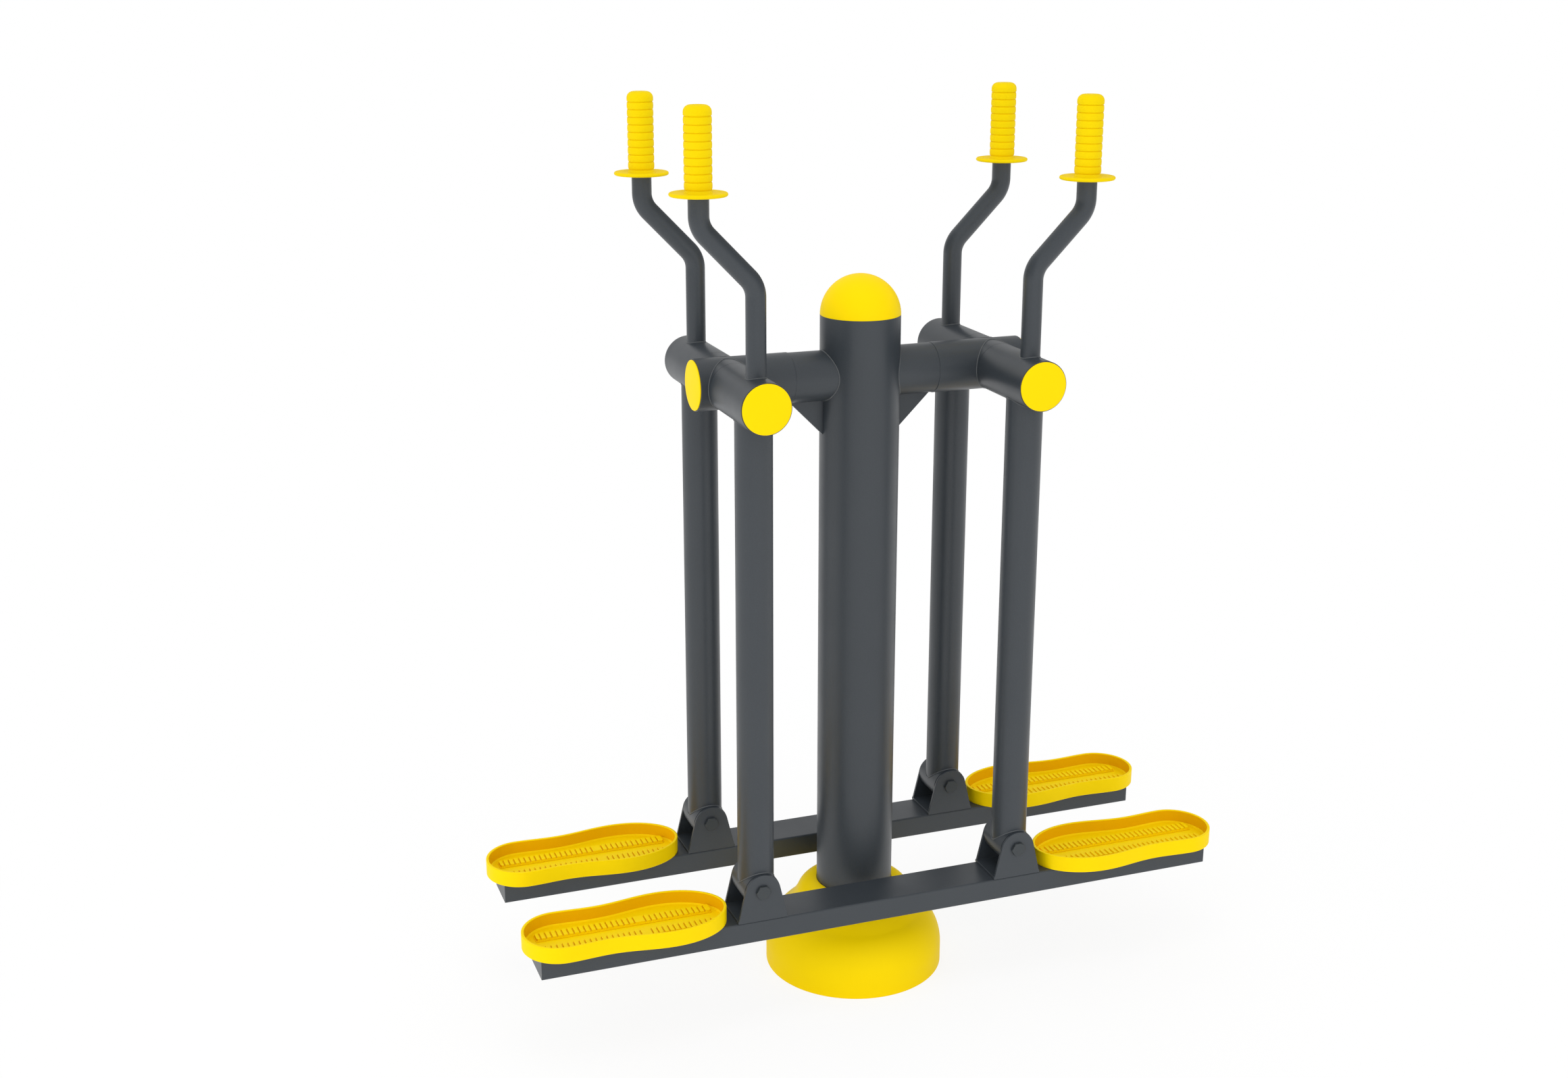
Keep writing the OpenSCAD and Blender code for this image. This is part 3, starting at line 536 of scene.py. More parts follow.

# Every finish has a colour and a grain with a width and a depth, whose hollows are darker
# by the shade. Its roughness runs between two values over clouds of a width. A stretch says
# how many times finer the grain is along each axis, and a finish may name a second, darker
# colour that is painted as shade where a mesh is marked for it.
FINISHES = {
    # Polyester powder coat on steel: a satin film with a faint orange peel. The peel is
    # drawn 2 mm wide, as coarse as it needs to be to show.
    "powder_coated_steel": {
        "colour": "steel", "grain_mm": 2.0, "grain_depth_mm": 0.08, "shade": 0.26,
        "cloud_mm": 120, "roughness": (0.36, 0.45), "shader": {"IOR": 1.55}},
    # The same powder coat on the weld beads, painted a little paler there as a highlight.
    "powder_coated_weld": {
        "colour": "weld", "grain_mm": 3.0, "grain_depth_mm": 0.1, "shade": 0.3,
        "cloud_mm": 30, "roughness": (0.40, 0.55), "shader": {"IOR": 1.55}},
    "moulded_polyethylene": POLYETHYLENE,
    # The same polyethylene in a footplate, with shade painted in a deeper amber on the wall's
    # inside, the notches and the tread's foot. The floor and the ribs keep the plain colour.
    "trodden_polyethylene": {**POLYETHYLENE, "dirt": "tray_painted_shade"},
    # Thermoplastic rubber, moulded: softer and duller than the hard mouldings, and with shade
    # painted darker in the grooves.
    "moulded_soft_rubber": {
        "colour": "grip", "dirt": "groove", "grain_mm": 1.1, "grain_depth_mm": 0.02,
        "shade": 0.05, "cloud_mm": 30, "roughness": (0.52, 0.66),
        "shader": {"IOR": 1.50, "Specular IOR Level": 0.06}},
    # Zinc-plated steel with a black passivation: dark, even, a little metallic.
    "black_zinc_plate": {
        "colour": "bolt", "grain_mm": 0.9, "grain_depth_mm": 0.01, "shade": 0.18,
        "cloud_mm": 18, "roughness": (0.34, 0.46), "shader": {"Metallic": 0.25}},
    # Ground bearing steel: bright metal with fine marks round the axis, along Y.
    "ground_bearing_steel": {
        "colour": "bearing", "grain_mm": 2.4, "grain_depth_mm": 0.006, "shade": 0.22,
        "cloud_mm": 25, "roughness": (0.20, 0.34), "stretch": (0.2, 8, 0.2),
        "shader": {"Metallic": 1.0}},
    # Cast nylon, turned on a lathe: creamy and waxy, with fine turning marks along Y.
    "turned_nylon": {
        "colour": "nylon", "grain_mm": 2.0, "grain_depth_mm": 0.02, "shade": 0.08,
        "cloud_mm": 20, "roughness": (0.45, 0.58), "stretch": (0.2, 5, 0.2),
        "shader": {"IOR": 1.53}},
    # Nitrile rubber, moulded: nearly black and matt.
    "nitrile_rubber": {
        "colour": "rubber", "grain_mm": 0.8, "grain_depth_mm": 0.03, "shade": 0.30,
        "cloud_mm": 12, "roughness": (0.62, 0.78), "shader": {"IOR": 1.52}},
    # Bright zinc plate on steel screws, with a faint spangle.
    "bright_zinc_plate": {
        "colour": "zinc", "grain_mm": 1.6, "grain_depth_mm": 0.008, "shade": 0.20,
        "cloud_mm": 9, "roughness": (0.26, 0.42), "shader": {"Metallic": 1.0}},
}


def feed(tree, node, inputs):
    """Sets or links a node's inputs."""
    for key, value in inputs.items():
        if isinstance(value, bpy.types.NodeSocket):
            tree.links.new(value, node.inputs[key])
        else:
            node.inputs[key].default_value = value


def add_node(tree, kind, inputs=None, **settings):
    """Adds a node, sets its settings, and sets or links its inputs."""
    new = tree.nodes.new(kind)
    for key, value in settings.items():
        setattr(new, key, value)
    feed(tree, new, inputs or {})
    return new


def per_metre(millimetres):
    """Texture scale for a pattern of a size in millimetres."""
    return 1000 / millimetres


def material_of(finish):
    """Principled material of a finish, whose grain, shade and gloss vary over the surface.
    It is made once."""
    if finish in bpy.data.materials:
        return bpy.data.materials[finish]
    look = FINISHES[finish]
    colours = bpy.context.scene.walker_colours
    colour = getattr(colours, look["colour"])
    material = bpy.data.materials.new(finish)
    material.use_nodes = True
    tree = material.node_tree
    place = add_node(tree, "ShaderNodeTexCoord").outputs["Object"]
    grain_place = add_node(tree, "ShaderNodeMapping", {
        "Vector": place, "Scale": look.get("stretch", (1, 1, 1))})
    grain = add_node(tree, "ShaderNodeTexNoise", {
        "Vector": grain_place.outputs["Vector"], "Scale": per_metre(look["grain_mm"]),
        "Detail": 3.0, "Roughness": 0.55}).outputs["Fac"]
    clouds = add_node(tree, "ShaderNodeTexNoise", {
        "Vector": place, "Scale": per_metre(look["cloud_mm"]), "Detail": 4.0, "Roughness": 0.6})
    dark = [c * (1 - look["shade"]) for c in colour]
    shown = add_node(tree, "ShaderNodeMix", {
        "Factor": grain, "A": (*dark, 1), "B": (*colour, 1)}, data_type="RGBA")
    # Painted shade: the second colour, where the mesh is marked
    if "dirt" in look:
        dirt = add_node(tree, "ShaderNodeAttribute", attribute_name=PAINTED_SHADE).outputs["Fac"]
        shown = add_node(tree, "ShaderNodeMix", {
            "Factor": dirt, "A": shown.outputs["Result"],
            "B": (*getattr(colours, look["dirt"]), 1)}, data_type="RGBA")
    gloss = add_node(tree, "ShaderNodeMapRange", {
        "Value": clouds.outputs["Fac"], "From Min": CLOUD_LOW, "From Max": CLOUD_HIGH,
        "To Min": look["roughness"][0], "To Max": look["roughness"][1]})
    bump = add_node(tree, "ShaderNodeBump", {
        "Height": grain, "Strength": 1.0, "Distance": look["grain_depth_mm"] / 1000})
    feed(tree, tree.nodes["Principled BSDF"], {
        "Base Color": shown.outputs["Result"], "Roughness": gloss.outputs["Result"],
        "Normal": bump.outputs["Normal"], **look["shader"]})
    return material


# Outlines

def arc(centre, reach, rise, start, end, steps=CURVE_STEPS):
    """Points of an ellipse round a centre, from one angle to another."""
    angles = [start + (end - start) * i / steps for i in range(steps + 1)]
    return [(centre[0] + reach * math.cos(a), centre[1] + rise * math.sin(a)) for a in angles]


def heading(reach, rise, angle):
    """Direction in which an ellipse runs at an angle."""
    return Vector((-reach * math.sin(angle), rise * math.cos(angle))).normalized()


def cubic(a, b, c, d, t):
    """Point of a cubic curve."""
    return a * (1 - t) ** 3 + b * 3 * t * (1 - t) ** 2 + c * 3 * t ** 2 * (1 - t) + d * t ** 3


def bell_side(size, foot_r, mouth_r, inset):
    """One side of the base cover's wall, from the ground to its mouth round the post."""
    reach = size.shoulder_reach - inset
    rise = size.shoulder_rise - inset
    neck_in = size.neck_reach - inset
    neck_up = size.neck_rise - inset
    neck_x = size.neck_r - size.neck_reach
    shoulder = arc((foot_r - size.shoulder_reach, size.skirt), reach, rise, 0, size.shoulder_end)
    mouth = math.acos((mouth_r - neck_x) / neck_in)
    neck = arc((neck_x, size.height - size.neck_rise), neck_in, neck_up, size.neck_start, mouth)
    a = Vector(shoulder[-1])
    d = Vector(neck[0])
    b = a + size.blend * heading(reach, rise, size.shoulder_end)
    c = d - size.blend * heading(neck_in, neck_up, size.neck_start)
    blend = [tuple(cubic(a, b, c, d, i / CURVE_STEPS)) for i in range(1, CURVE_STEPS)]
    return [(foot_r - inset, 0), *shoulder, *blend, *neck]


def dome_outline(size, post_r):
    """Outline of a half round dome with a hollow plug, its seat at zero."""
    inner_r = post_r - size.dome_wall
    plug_r = post_r - tube_wall("post") - size.clearance
    bore_r = plug_r - size.plug_wall
    outside = arc((0, 0), post_r, post_r, math.pi / 2, 0, 2 * CURVE_STEPS)
    plug = [(plug_r, 0), (plug_r, -size.dome_plug), (bore_r, -size.dome_plug),
            (bore_r, size.dome_wall)]
    ledge = math.asin(size.dome_wall / inner_r)
    return [*outside, *plug, *arc((0, 0), inner_r, inner_r, ledge, math.pi / 2)]


def cap_outline(size, tube_r, wall, cap_r):
    """Outline of a crowned cap with a hollow plug, its seat at zero and facing up."""
    plug_r = tube_r - wall - size.clearance
    bore_r = plug_r - size.plug_wall
    crown = arc((0, size.rim), cap_r, size.crown, math.pi / 2, 0)
    plug = [(cap_r, 0), (plug_r, 0), (plug_r, -size.plug), (bore_r, -size.plug), (bore_r, 0)]
    return [*crown, *plug, (0, 0)]


def grip_outline(size, length, disc_r, bore_r):
    """Outline of a grip from its closed bore, over its disc and rings, to its top."""
    r = size.grip_d / 2
    rim_r = size.disc_t / 2
    ring_h = (length - size.foot - size.head) / size.rings
    disc = arc((disc_r - rim_r, rim_r), rim_r, rim_r, -math.pi / 2, math.pi / 2)
    fillet = size.groove
    foot = arc((r + fillet, size.disc_t + fillet), fillet, fillet, -math.pi / 2, -math.pi, FILLET_STEPS)
    rings = []
    for i in range(size.rings * RING_STEPS + 1):
        swell = size.groove * abs(math.sin(math.pi * i / RING_STEPS)) ** size.ring_swell
        rings.append((r - size.groove + swell, size.foot + ring_h * i / RING_STEPS))
    head = [(r, length - size.head + size.groove)]
    top = arc((r - size.top_r, length - size.top_r), size.top_r, size.top_r, 0, math.pi / 2)
    closed = length - size.top_t
    bore = [(0, closed), (bore_r, closed), (bore_r, 0)]
    return [*bore, *disc, *foot, *rings, *head, *top, (0, length)]


def plate_half_width(size, length, ball_w, x):
    """Half width of a footplate at a distance from its ball end."""
    ball_x = size.ball_share * length
    waist_x = size.waist_share * length
    heel_x = size.heel_share * length
    ball, waist, heel = ball_w / 2, size.waist_w / 2, size.heel_w / 2
    if x < ball_x:
        return ball * math.sqrt(max(0, 1 - ((ball_x - x) / ball_x) ** 2))
    if x < waist_x:
        return waist + (ball - waist) * (1 + math.cos(math.pi * (x - ball_x) / (waist_x - ball_x))) / 2
    if x < heel_x:
        return waist + (heel - waist) * (1 - math.cos(math.pi * (x - waist_x) / (heel_x - waist_x))) / 2
    return heel * math.sqrt(max(0, 1 - ((x - heel_x) / (length - heel_x)) ** 2))


def plate_outline(size, length, ball_w):
    """Points round a footplate at even steps, closer together at its two ends."""
    ball_x = size.ball_share * length
    heel_x = size.heel_share * length
    end_steps = PLATE_POINTS // 8
    turns = [math.pi / 2 * i / end_steps for i in range(end_steps + 1)]
    places = [ball_x - ball_x * math.cos(turn) for turn in turns[:-1]]
    places += [ball_x + (heel_x - ball_x) * i / (2 * end_steps) for i in range(2 * end_steps)]
    places += [heel_x + (length - heel_x) * math.sin(turn) for turn in turns]
    near = [(x, plate_half_width(size, length, ball_w, x), 0) for x in places]
    far = [(x, -y, z) for x, y, z in reversed(near[1:-1])]
    return near + far


def notch_places(size, length, side):
    """Middles of a tread strip's notches from its heel end. On the left a plain block parts
    those under the heel from those under the ball, and on the right they run on evenly."""
    notches = size.heel_notches + size.ball_notches
    if side == "right":
        end_block = (size.heel_block + size.ball_block) / 2
        pitch = (length - 2 * end_block) / (notches - 1)
        return [end_block + i * pitch for i in range(notches)]
    pitch = (length - size.heel_block - size.mid_block - size.ball_block) / (notches - 2)
    ball_start = size.heel_block + (size.heel_notches - 1) * pitch + size.mid_block
    return [size.heel_block + i * pitch for i in range(size.heel_notches)] + [
        ball_start + i * pitch for i in range(size.ball_notches)]


def strip_outline(size, length, middles, notch_w):
    """Side view of a tread strip from its heel end, with its foot sunk in the floor."""
    low = -size.floor_t / 2
    points = [(0, low), (0, size.strip_h)]
    for x in middles:
        for side, drop in ((-1, 0), (-1, 1), (1, 1), (1, 0)):
            points.append((x + side * notch_w / 2, size.strip_h - drop * size.notch_depth))
    return points + [(length, size.strip_h), (length, low)]


# Operators

class WALKER_OT_paint_steel(bpy.types.Operator):
    """Coats the tubes and plates that keep the frame's own shape"""

    bl_idname = "walker.paint_steel"
    bl_label = "Paint steel"

    def execute(self, context):
        steel = "powder_coated_steel"
        paint_nodes(steel, "post", "base_flange", "base_ribs", "arm_stubs", "hub_collars")
        for row, side in QUARTERS:
            paint_nodes(steel, f"leg_{row}_{side}", f"pivot_tube_{row}_{side}")
        return {"FINISHED"}


class WALKER_OT_finish_inner_parts(bpy.types.Operator):
    """Finishes the bearings, shafts, seals, bushes and screws inside"""

    bl_idname = "walker.finish_inner_parts"
    bl_label = "Finish inner parts"

    def execute(self, context):
        steel = "ground_bearing_steel"
        paint_nodes(steel, "hub_shafts", "shaft_spacers", "lock_nuts", "bearing_inner_rings")
        paint_nodes("nitrile_rubber", "hub_seals")
        for row, side in QUARTERS:
            paint_nodes(steel, f"bearings_{row}_{side}")
            paint_nodes("turned_nylon", f"bushes_{row}_{side}")
        for row in ROWS:
            paint_nodes("bright_zinc_plate", f"plate_screws_{row}")
        return {"FINISHED"}


class WALKER_OT_model_edges(bpy.types.Operator):
    """Rounds the cut edges of the arms, sleeves, beams, gussets, brackets and bolts"""

    bl_idname = "walker.model_edges"
    bl_label = "Soften steel edges"

    def execute(self, context):
        size = context.scene.walker_steel
        edge = size.edge

        def coated(node, name, body, *how):
            """Stands for a frame node with softened edges under the powder coat."""
            placed(softened(node, name, *how), body, "frame_paint", "powder_coated_steel", node)

        for side in SIDES:
            node = f"arm_{side}"
            lo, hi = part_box(node)
            coated(node, f"arm_tube_{side}", "frame", edge,
                   lambda co: min(abs(co.x - lo.x), abs(co.x - hi.x)) < edge)
        coated("arm_gussets", "gussets", "frame", edge)
        for row, side in QUARTERS:
            coated(f"sleeve_{row}_{side}", f"hub_{row}_{side}", f"{row}_{side}_arm",
                   edge * SLEEVE_EDGE)
        for row in ROWS:
            body = f"{row}_beam"
            coated(f"beam_{row}", f"beam_tube_{row}", body, edge * BEAM_EDGE)
            coated(f"brackets_{row}", f"pivot_brackets_{row}", body, edge)
            node = f"pivot_bolts_{row}"
            bolts = softened(node, f"pivot_bolt_set_{row}", edge, corner=size.corner)
            placed(bolts, body, "bolt_black", "black_zinc_plate", node)
        return {"FINISHED"}


class WALKER_OT_model_base_cover(bpy.types.Operator):
    """Models the bell-shaped cover round the post's foot"""

    bl_idname = "walker.model_base_cover"
    bl_label = "Base cover"

    def execute(self, context):
        size = context.scene.walker_bell
        foot_r = extent("base_cover").x / 2
        mouth_r = extent("post").x / 2 + size.clearance
        outside = bell_side(size, foot_r, mouth_r, 0)
        inside = bell_side(size, foot_r, mouth_r, size.wall)
        cover = turned("bell_cover", outside + inside[::-1], size.edge)
        placed(cover, "frame", "yellow_moulding", "moulded_polyethylene", "base_cover")
        return {"FINISHED"}


class WALKER_OT_model_caps(bpy.types.Operator):
    """Models the dome on the post and the crowned caps in the arms and hubs"""

    bl_idname = "walker.model_caps"
    bl_label = "Caps"

    def execute(self, context):
        size = context.scene.walker_caps
        yellow = "moulded_polyethylene"
        post_lo, post_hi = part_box("post")
        dome = turned("dome", dome_outline(size, (post_hi.x - post_lo.x) / 2), size.edge)
        dome.data.transform(Matrix.Translation((0, 0, post_hi.z)))
        placed(dome, "frame", "yellow_moulding", yellow, "post_cap")

        cap = fitted_cap(size, "arm_right", "arm_caps")
        arm_end = Vector((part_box("arm_right")[1].x, 0, middle("arm_right").z))
        seat = Matrix.Translation(arm_end) @ Matrix.Rotation(math.pi / 2, 4, "Y")
        caps = [copied(cap, f"cap_{side}", quarter_matrix("rear", side) @ seat) for side in SIDES]
        bpy.data.objects.remove(cap)
        placed(joined("arm_end_caps", caps), "frame", "yellow_moulding", yellow, "arm_caps")

        hub_end = middle("sleeve_rear_right")
        hub_end.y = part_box("sleeve_rear_right")[1].y
        seat = Matrix.Translation(hub_end) @ Matrix.Rotation(-math.pi / 2, 4, "X")
        cap = fitted_cap(size, "sleeve_rear_right", "hub_cap_rear_right")
        quartered((cap, "hub_end_cap", seat, "yellow_moulding", yellow, "hub_cap"))
        return {"FINISHED"}


def fitted_cap(size, tube, cap):
    """Cap as wide as a frame node, with a plug that fits in a tube."""
    outline = cap_outline(size, extent(tube).z / 2, tube_wall(tube), extent(cap).z / 2)
    return turned("cap", outline, size.edge)


class WALKER_OT_model_handlebars(bpy.types.Operator):
    """Models the bent handlebars and their ribbed grips"""

    bl_idname = "walker.model_handlebars"
    bl_label = "Handlebars and grips"

    def execute(self, context):
        size = context.scene.walker_bars
        bar = extent("handlebar_rear_right")
        grip_lo, grip_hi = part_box("grip_rear_right")
        hub = middle("sleeve_rear_right")
        bar_y = middle("handlebar_rear_right").y
        foot = Matrix.Translation((hub.x, bar_y, hub.z))
        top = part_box("handlebar_rear_right")[1].z - hub.z
        tube = bent_tube(size, bar.y, bar.x - bar.y, top, extent("sleeve_rear_right").z / 2)
        length = grip_hi.z - grip_lo.z
        bore_r = bar.y / 2 + size.clearance
        grip = turned("grip", grip_outline(size, length, (grip_hi.x - grip_lo.x) / 2, bore_r))
        groove_r = (size.grip_d - size.groove) / 2

        # Faces in the grooves between the rings, where shade is painted
        def in_groove(face):
            return bore_r + MERGE < face.center.xy.length < groove_r and (
                size.foot < face.center.z < length - size.head)

        mark_painted_shade(grip, in_groove)
        seat = Matrix.Translation(((grip_lo.x + grip_hi.x) / 2, bar_y, grip_lo.z))
        quartered((tube, "bar", foot, "frame_paint", "powder_coated_steel", "handlebar"),
                  (grip, "ribbed_grip", seat, "grip_moulding", "moulded_soft_rubber", "grip"))
        return {"FINISHED"}


def bent_tube(size, diameter, out, top, hub_r):
    """Tube with two bends in the XZ plane. Its foot ends in the wall of the hub, whose axis
    lies at zero, as low as the weld goes."""
    lean = math.atan2(out, size.out_rise)
    tangent = size.bend_r * math.tan(lean / 2)
    foot = math.sqrt(hub_r ** 2 - (diameter / 2) ** 2)
    lower = size.rise - tangent
    upper = size.rise + size.out_rise + tangent
    slope = math.hypot(out, size.out_rise) - 2 * tangent
    bpy.ops.object.select_all(action="DESELECT")
    bpy.ops.mesh.primitive_circle_add(vertices=BAR_SIDES, radius=diameter / 2, location=(0, 0, 0))
    tube = named("tube")
    bpy.ops.object.mode_set(mode="EDIT")
    bpy.ops.transform.translate(value=(0, 0, foot))
    extrude((0, 0, lower - foot))
    bpy.ops.mesh.spin(steps=BEND_STEPS, angle=-lean, center=(size.bend_r, 0, lower), axis=(0, 1, 0))
    extrude((slope * math.sin(lean), 0, slope * math.cos(lean)))
    bpy.ops.mesh.spin(steps=BEND_STEPS, angle=lean, center=(out - size.bend_r, 0, upper), axis=(0, 1, 0))
    extrude((0, 0, top - upper))
    clean()
    bpy.ops.object.mode_set(mode="OBJECT")
    modified(tube, "SOLIDIFY", thickness=size.wall, offset=-1)
    return smoothed(tube)


class WALKER_OT_model_footplates(bpy.types.Operator):
    """Models the shoe-shaped trays with their notched tread strips"""

    bl_idname = "walker.model_footplates"
    bl_label = "Footplates"

    def execute(self, context):
        size = context.scene.walker_plates
        lo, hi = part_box("footplate_rear_right")
        length, ball_w, height = hi - lo
        strip_l = length - size.ball_gap - size.heel_gap
        tread_z = size.floor_t + size.strip_h
        notch_z = tread_z - size.notch_depth

        # Faces where shade is painted: the wall's inside, the notches' floors (and their sides in the
        # narrow left notches), and the tread's foot
        def gets_painted_shade(face, narrow):
            x, y, z = face.center
            inside = abs(y) < plate_half_width(size, length, ball_w, x) - size.wall / 2
            upright = face.normal.z < FACING
            in_wall = upright and tread_z < z < height - size.lip
            in_notch = notch_z - MERGE < z < tread_z and (
                narrow and abs(face.normal.x) > FACING or z < notch_z + MERGE)
            at_foot = upright and size.floor_t < z < size.floor_t + size.ledge_h
            return inside and (in_wall or in_notch or at_foot)

        seat = Matrix.Translation((lo.x, (lo.y + hi.y) / 2, lo.z))
        for side, out, notch_w in (("left", 0, size.notch_w),
                                   ("right", size.right_out, size.right_notch_w)):
            tray = footplate_tray(size, length, ball_w, height)
            parts = [tread_ledge(size, strip_l),
                     tread_strip(size, strip_l, notch_places(size, strip_l, side), notch_w)]
            for part in parts:
                for y in (-size.strip_y, size.strip_y):
                    place = Matrix.Translation((length - size.heel_gap + out, y, size.floor_t))
                    added = copied(part, "added", place @ Matrix.Diagonal((-1, 1, 1, 1)))
                    modified(tray, "BOOLEAN", object=added, operation="UNION", solver="EXACT")
                    bpy.data.objects.remove(added)
                bpy.data.objects.remove(part)
            mark_painted_shade(tray, lambda face: gets_painted_shade(face, side == "left"))
            smoothed(tray)
            for row in ROWS:
                piece = copied(tray, f"foot_tray_{row}_{side}", quarter_matrix(row, side) @ seat)
                placed(piece, f"{row}_beam", "yellow_moulding", "trodden_polyethylene",
                       f"footplate_{row}_{side}")
            bpy.data.objects.remove(tray)
        return {"FINISHED"}


def footplate_tray(size, length, ball_w, height):
    """Tray with a raised wall, a rounded lip and a cove round its floor."""
    tray = drawn("tray", plate_outline(size, length, ball_w))
    bpy.ops.mesh.edge_face_add()
    extrude((0, 0, height))
    bpy.ops.mesh.inset(thickness=size.wall, depth=0)
    extrude((0, 0, size.floor_t + size.cove_h - height))
    bpy.ops.mesh.inset(thickness=size.cove_w, depth=-size.cove_h)
    clean()
    bevel_edges(tray, size.lip, LIP_STEPS,
                lambda e: is_sharp(e) and all(v.co.z > height - MERGE for v in e.verts))
    bevel_edges(tray, size.lip / 2, EDGE_STEPS, lambda e: all(v.co.z < MERGE for v in e.verts))
    bpy.ops.object.mode_set(mode="OBJECT")
    return tray


def tread_ledge(size, length):
    """Low ledge under a tread strip, a little wider and longer, with rounded corners."""
    half = size.ledge_w / 2
    past = half - size.strip_w / 2
    low = -size.floor_t / 2
    ledge = drawn("ledge", [(-past, -half, low), (length + past, -half, low),
                            (length + past, half, low), (-past, half, low)])
    bpy.ops.mesh.edge_face_add()
    extrude((0, 0, size.ledge_h - low))
    clean()
    bevel_edges(ledge, size.block_r, BLOCK_STEPS, lambda e: abs(span(e).z) > MERGE)
    bevel_edges(ledge, size.rib_r, RIB_STEPS,
                lambda e: is_sharp(e) and all(v.co.z > size.ledge_h - MERGE for v in e.verts))
    bpy.ops.object.mode_set(mode="OBJECT")
    return ledge


def tread_strip(size, length, middles, notch_w):
    """Notched strip with rounded ribs and rounded end corners."""
    half = size.strip_w / 2
    outline = strip_outline(size, length, middles, notch_w)
    strip = drawn("strip", [(x, -half, z) for x, z in outline])
    bpy.ops.mesh.edge_face_add()
    extrude((0, size.strip_w, 0))
    clean()
    bevel_edges(strip, size.block_r, BLOCK_STEPS,
                lambda e: max(abs(span(e).x), abs(span(e).y)) < MERGE
                and min(e.verts[0].co.x, length - e.verts[0].co.x) < MERGE)
    bpy.ops.object.mode_set(mode="OBJECT")
    rounded(strip, size.rib_r, RIB_STEPS)
    return strip


class WALKER_OT_lay_welds(bpy.types.Operator):
    """Lays the weld beads where tubes meet tubes"""

    bl_idname = "walker.lay_welds"
    bl_label = "Welds"

    def execute(self, context):
        bead_r = context.scene.walker_steel.weld_r
        # The beads' paler coat is a painted highlight
        coat = "powder_coated_weld"
        hub = middle("sleeve_rear_right")
        hub_r = extent("sleeve_rear_right").z / 2
        pin = middle("pivot_tube_rear_right")
        pin_r = extent("pivot_tube_rear_right").z / 2
        leg_r = extent("leg_rear_right").y / 2
        bar_y = middle("handlebar_rear_right").y
        bar_r = extent("handlebar_rear_right").y / 2
        on_hub = Matrix.Translation((hub.x, bar_y, hub.z))
        under_hub = Matrix.Translation((hub.x, pin.y, hub.z)) @ Matrix.Rotation(math.pi, 4, "X")
        swinging = joined("swinging_welds", [
            weld_bead(bar_r, hub_r, bead_r, on_hub),
            weld_bead(leg_r, hub_r, bead_r, under_hub),
            weld_bead(leg_r, pin_r, bead_r, Matrix.Translation(pin)),
        ])
        quartered((swinging, "arm_welds", Matrix(), "frame_paint", coat))

        quarter_turn = Matrix.Rotation(math.pi / 2, 4, "Z")
        along_x = Matrix.Rotation(math.pi / 2, 4, "Y") @ quarter_turn
        along_y = Matrix.Rotation(-math.pi / 2, 4, "X") @ quarter_turn
        stub = weld_bead(extent("arm_stubs").z / 2, extent("post").x / 2, bead_r,
                         Matrix.Translation((0, 0, hub.z)) @ along_x)
        collar = weld_bead(hub_r, extent("arm_right").z / 2, bead_r,
                           Matrix.Translation((hub.x, 0, hub.z)) @ along_y)
        fixed = [copied(stub, "stub", quarter_matrix("rear", side)) for side in SIDES]
        fixed += [copied(collar, "collar", quarter_matrix(row, side)) for row, side in QUARTERS]
        bpy.data.objects.remove(stub)
        bpy.data.objects.remove(collar)
        placed(joined("frame_welds", fixed), "frame", "frame_paint", coat)
        return {"FINISHED"}


def weld_bead(small_r, large_r, bead_r, matrix):
    """Bead round a tube that stands along Z on a larger tube that lies along Y."""
    bpy.ops.object.select_all(action="DESELECT")
    bpy.ops.curve.primitive_bezier_circle_add(radius=small_r)
    bead = named("bead")
    bpy.ops.object.mode_set(mode="EDIT")
    bpy.ops.curve.select_all(action="SELECT")
    bpy.ops.curve.subdivide(number_cuts=BEAD_CUTS)
    bpy.ops.object.mode_set(mode="OBJECT")
    points = bead.data.splines[0].bezier_points
    for i, point in enumerate(points):
        angle = math.tau * i / len(points)
        x = small_r * math.cos(angle)
        point.handle_left_type = point.handle_right_type = "AUTO"
        point.co = (x, small_r * math.sin(angle), math.sqrt(large_r ** 2 - x ** 2))
    bead.data.dimensions = "3D"
    bead.data.resolution_u = BEAD_STEPS
    bead.data.bevel_depth = bead_r
    bead.data.bevel_resolution = BEAD_SECTION
    select_only(bead)
    bpy.ops.object.convert(target="MESH")
    bead = named("bead")
    bead.data.transform(matrix)
    return smoothed(bead)


class WALKER_OT_set_stage(bpy.types.Operator):
    """Sets the camera, the pale floor and the soft studio light"""

    bl_idname = "walker.set_stage"
    bl_label = "Stage"

    def execute(self, context):
        settings = context.scene.walker_stage
        bpy.ops.object.select_all(action="DESELECT")
        bpy.ops.mesh.primitive_plane_add(size=STUDIO_W)
        floor = named("studio_floor")
        floor.data.materials.append(floor_finish(settings))
        set_camera(settings)
        for name, (place, target, size, power) in LAMPS.items():
            soft_light(name, place, target, size, getattr(settings, power))
        set_world(settings)
        context.scene.view_settings.view_transform = "Standard"
        return {"FINISHED"}


def seen_directly(tree):
    """Factor that is one where the camera, a reflection or a glass sees a surface."""
    rays = add_node(tree, "ShaderNodeLightPath").outputs
    either = add_node(tree, "ShaderNodeMath", {
        0: rays["Is Camera Ray"], 1: rays["Is Glossy Ray"]}, operation="MAXIMUM")
    any_of = add_node(tree, "ShaderNodeMath", {
        0: either.outputs[0], 1: rays["Is Transmission Ray"]}, operation="MAXIMUM")
    return any_of.outputs[0]


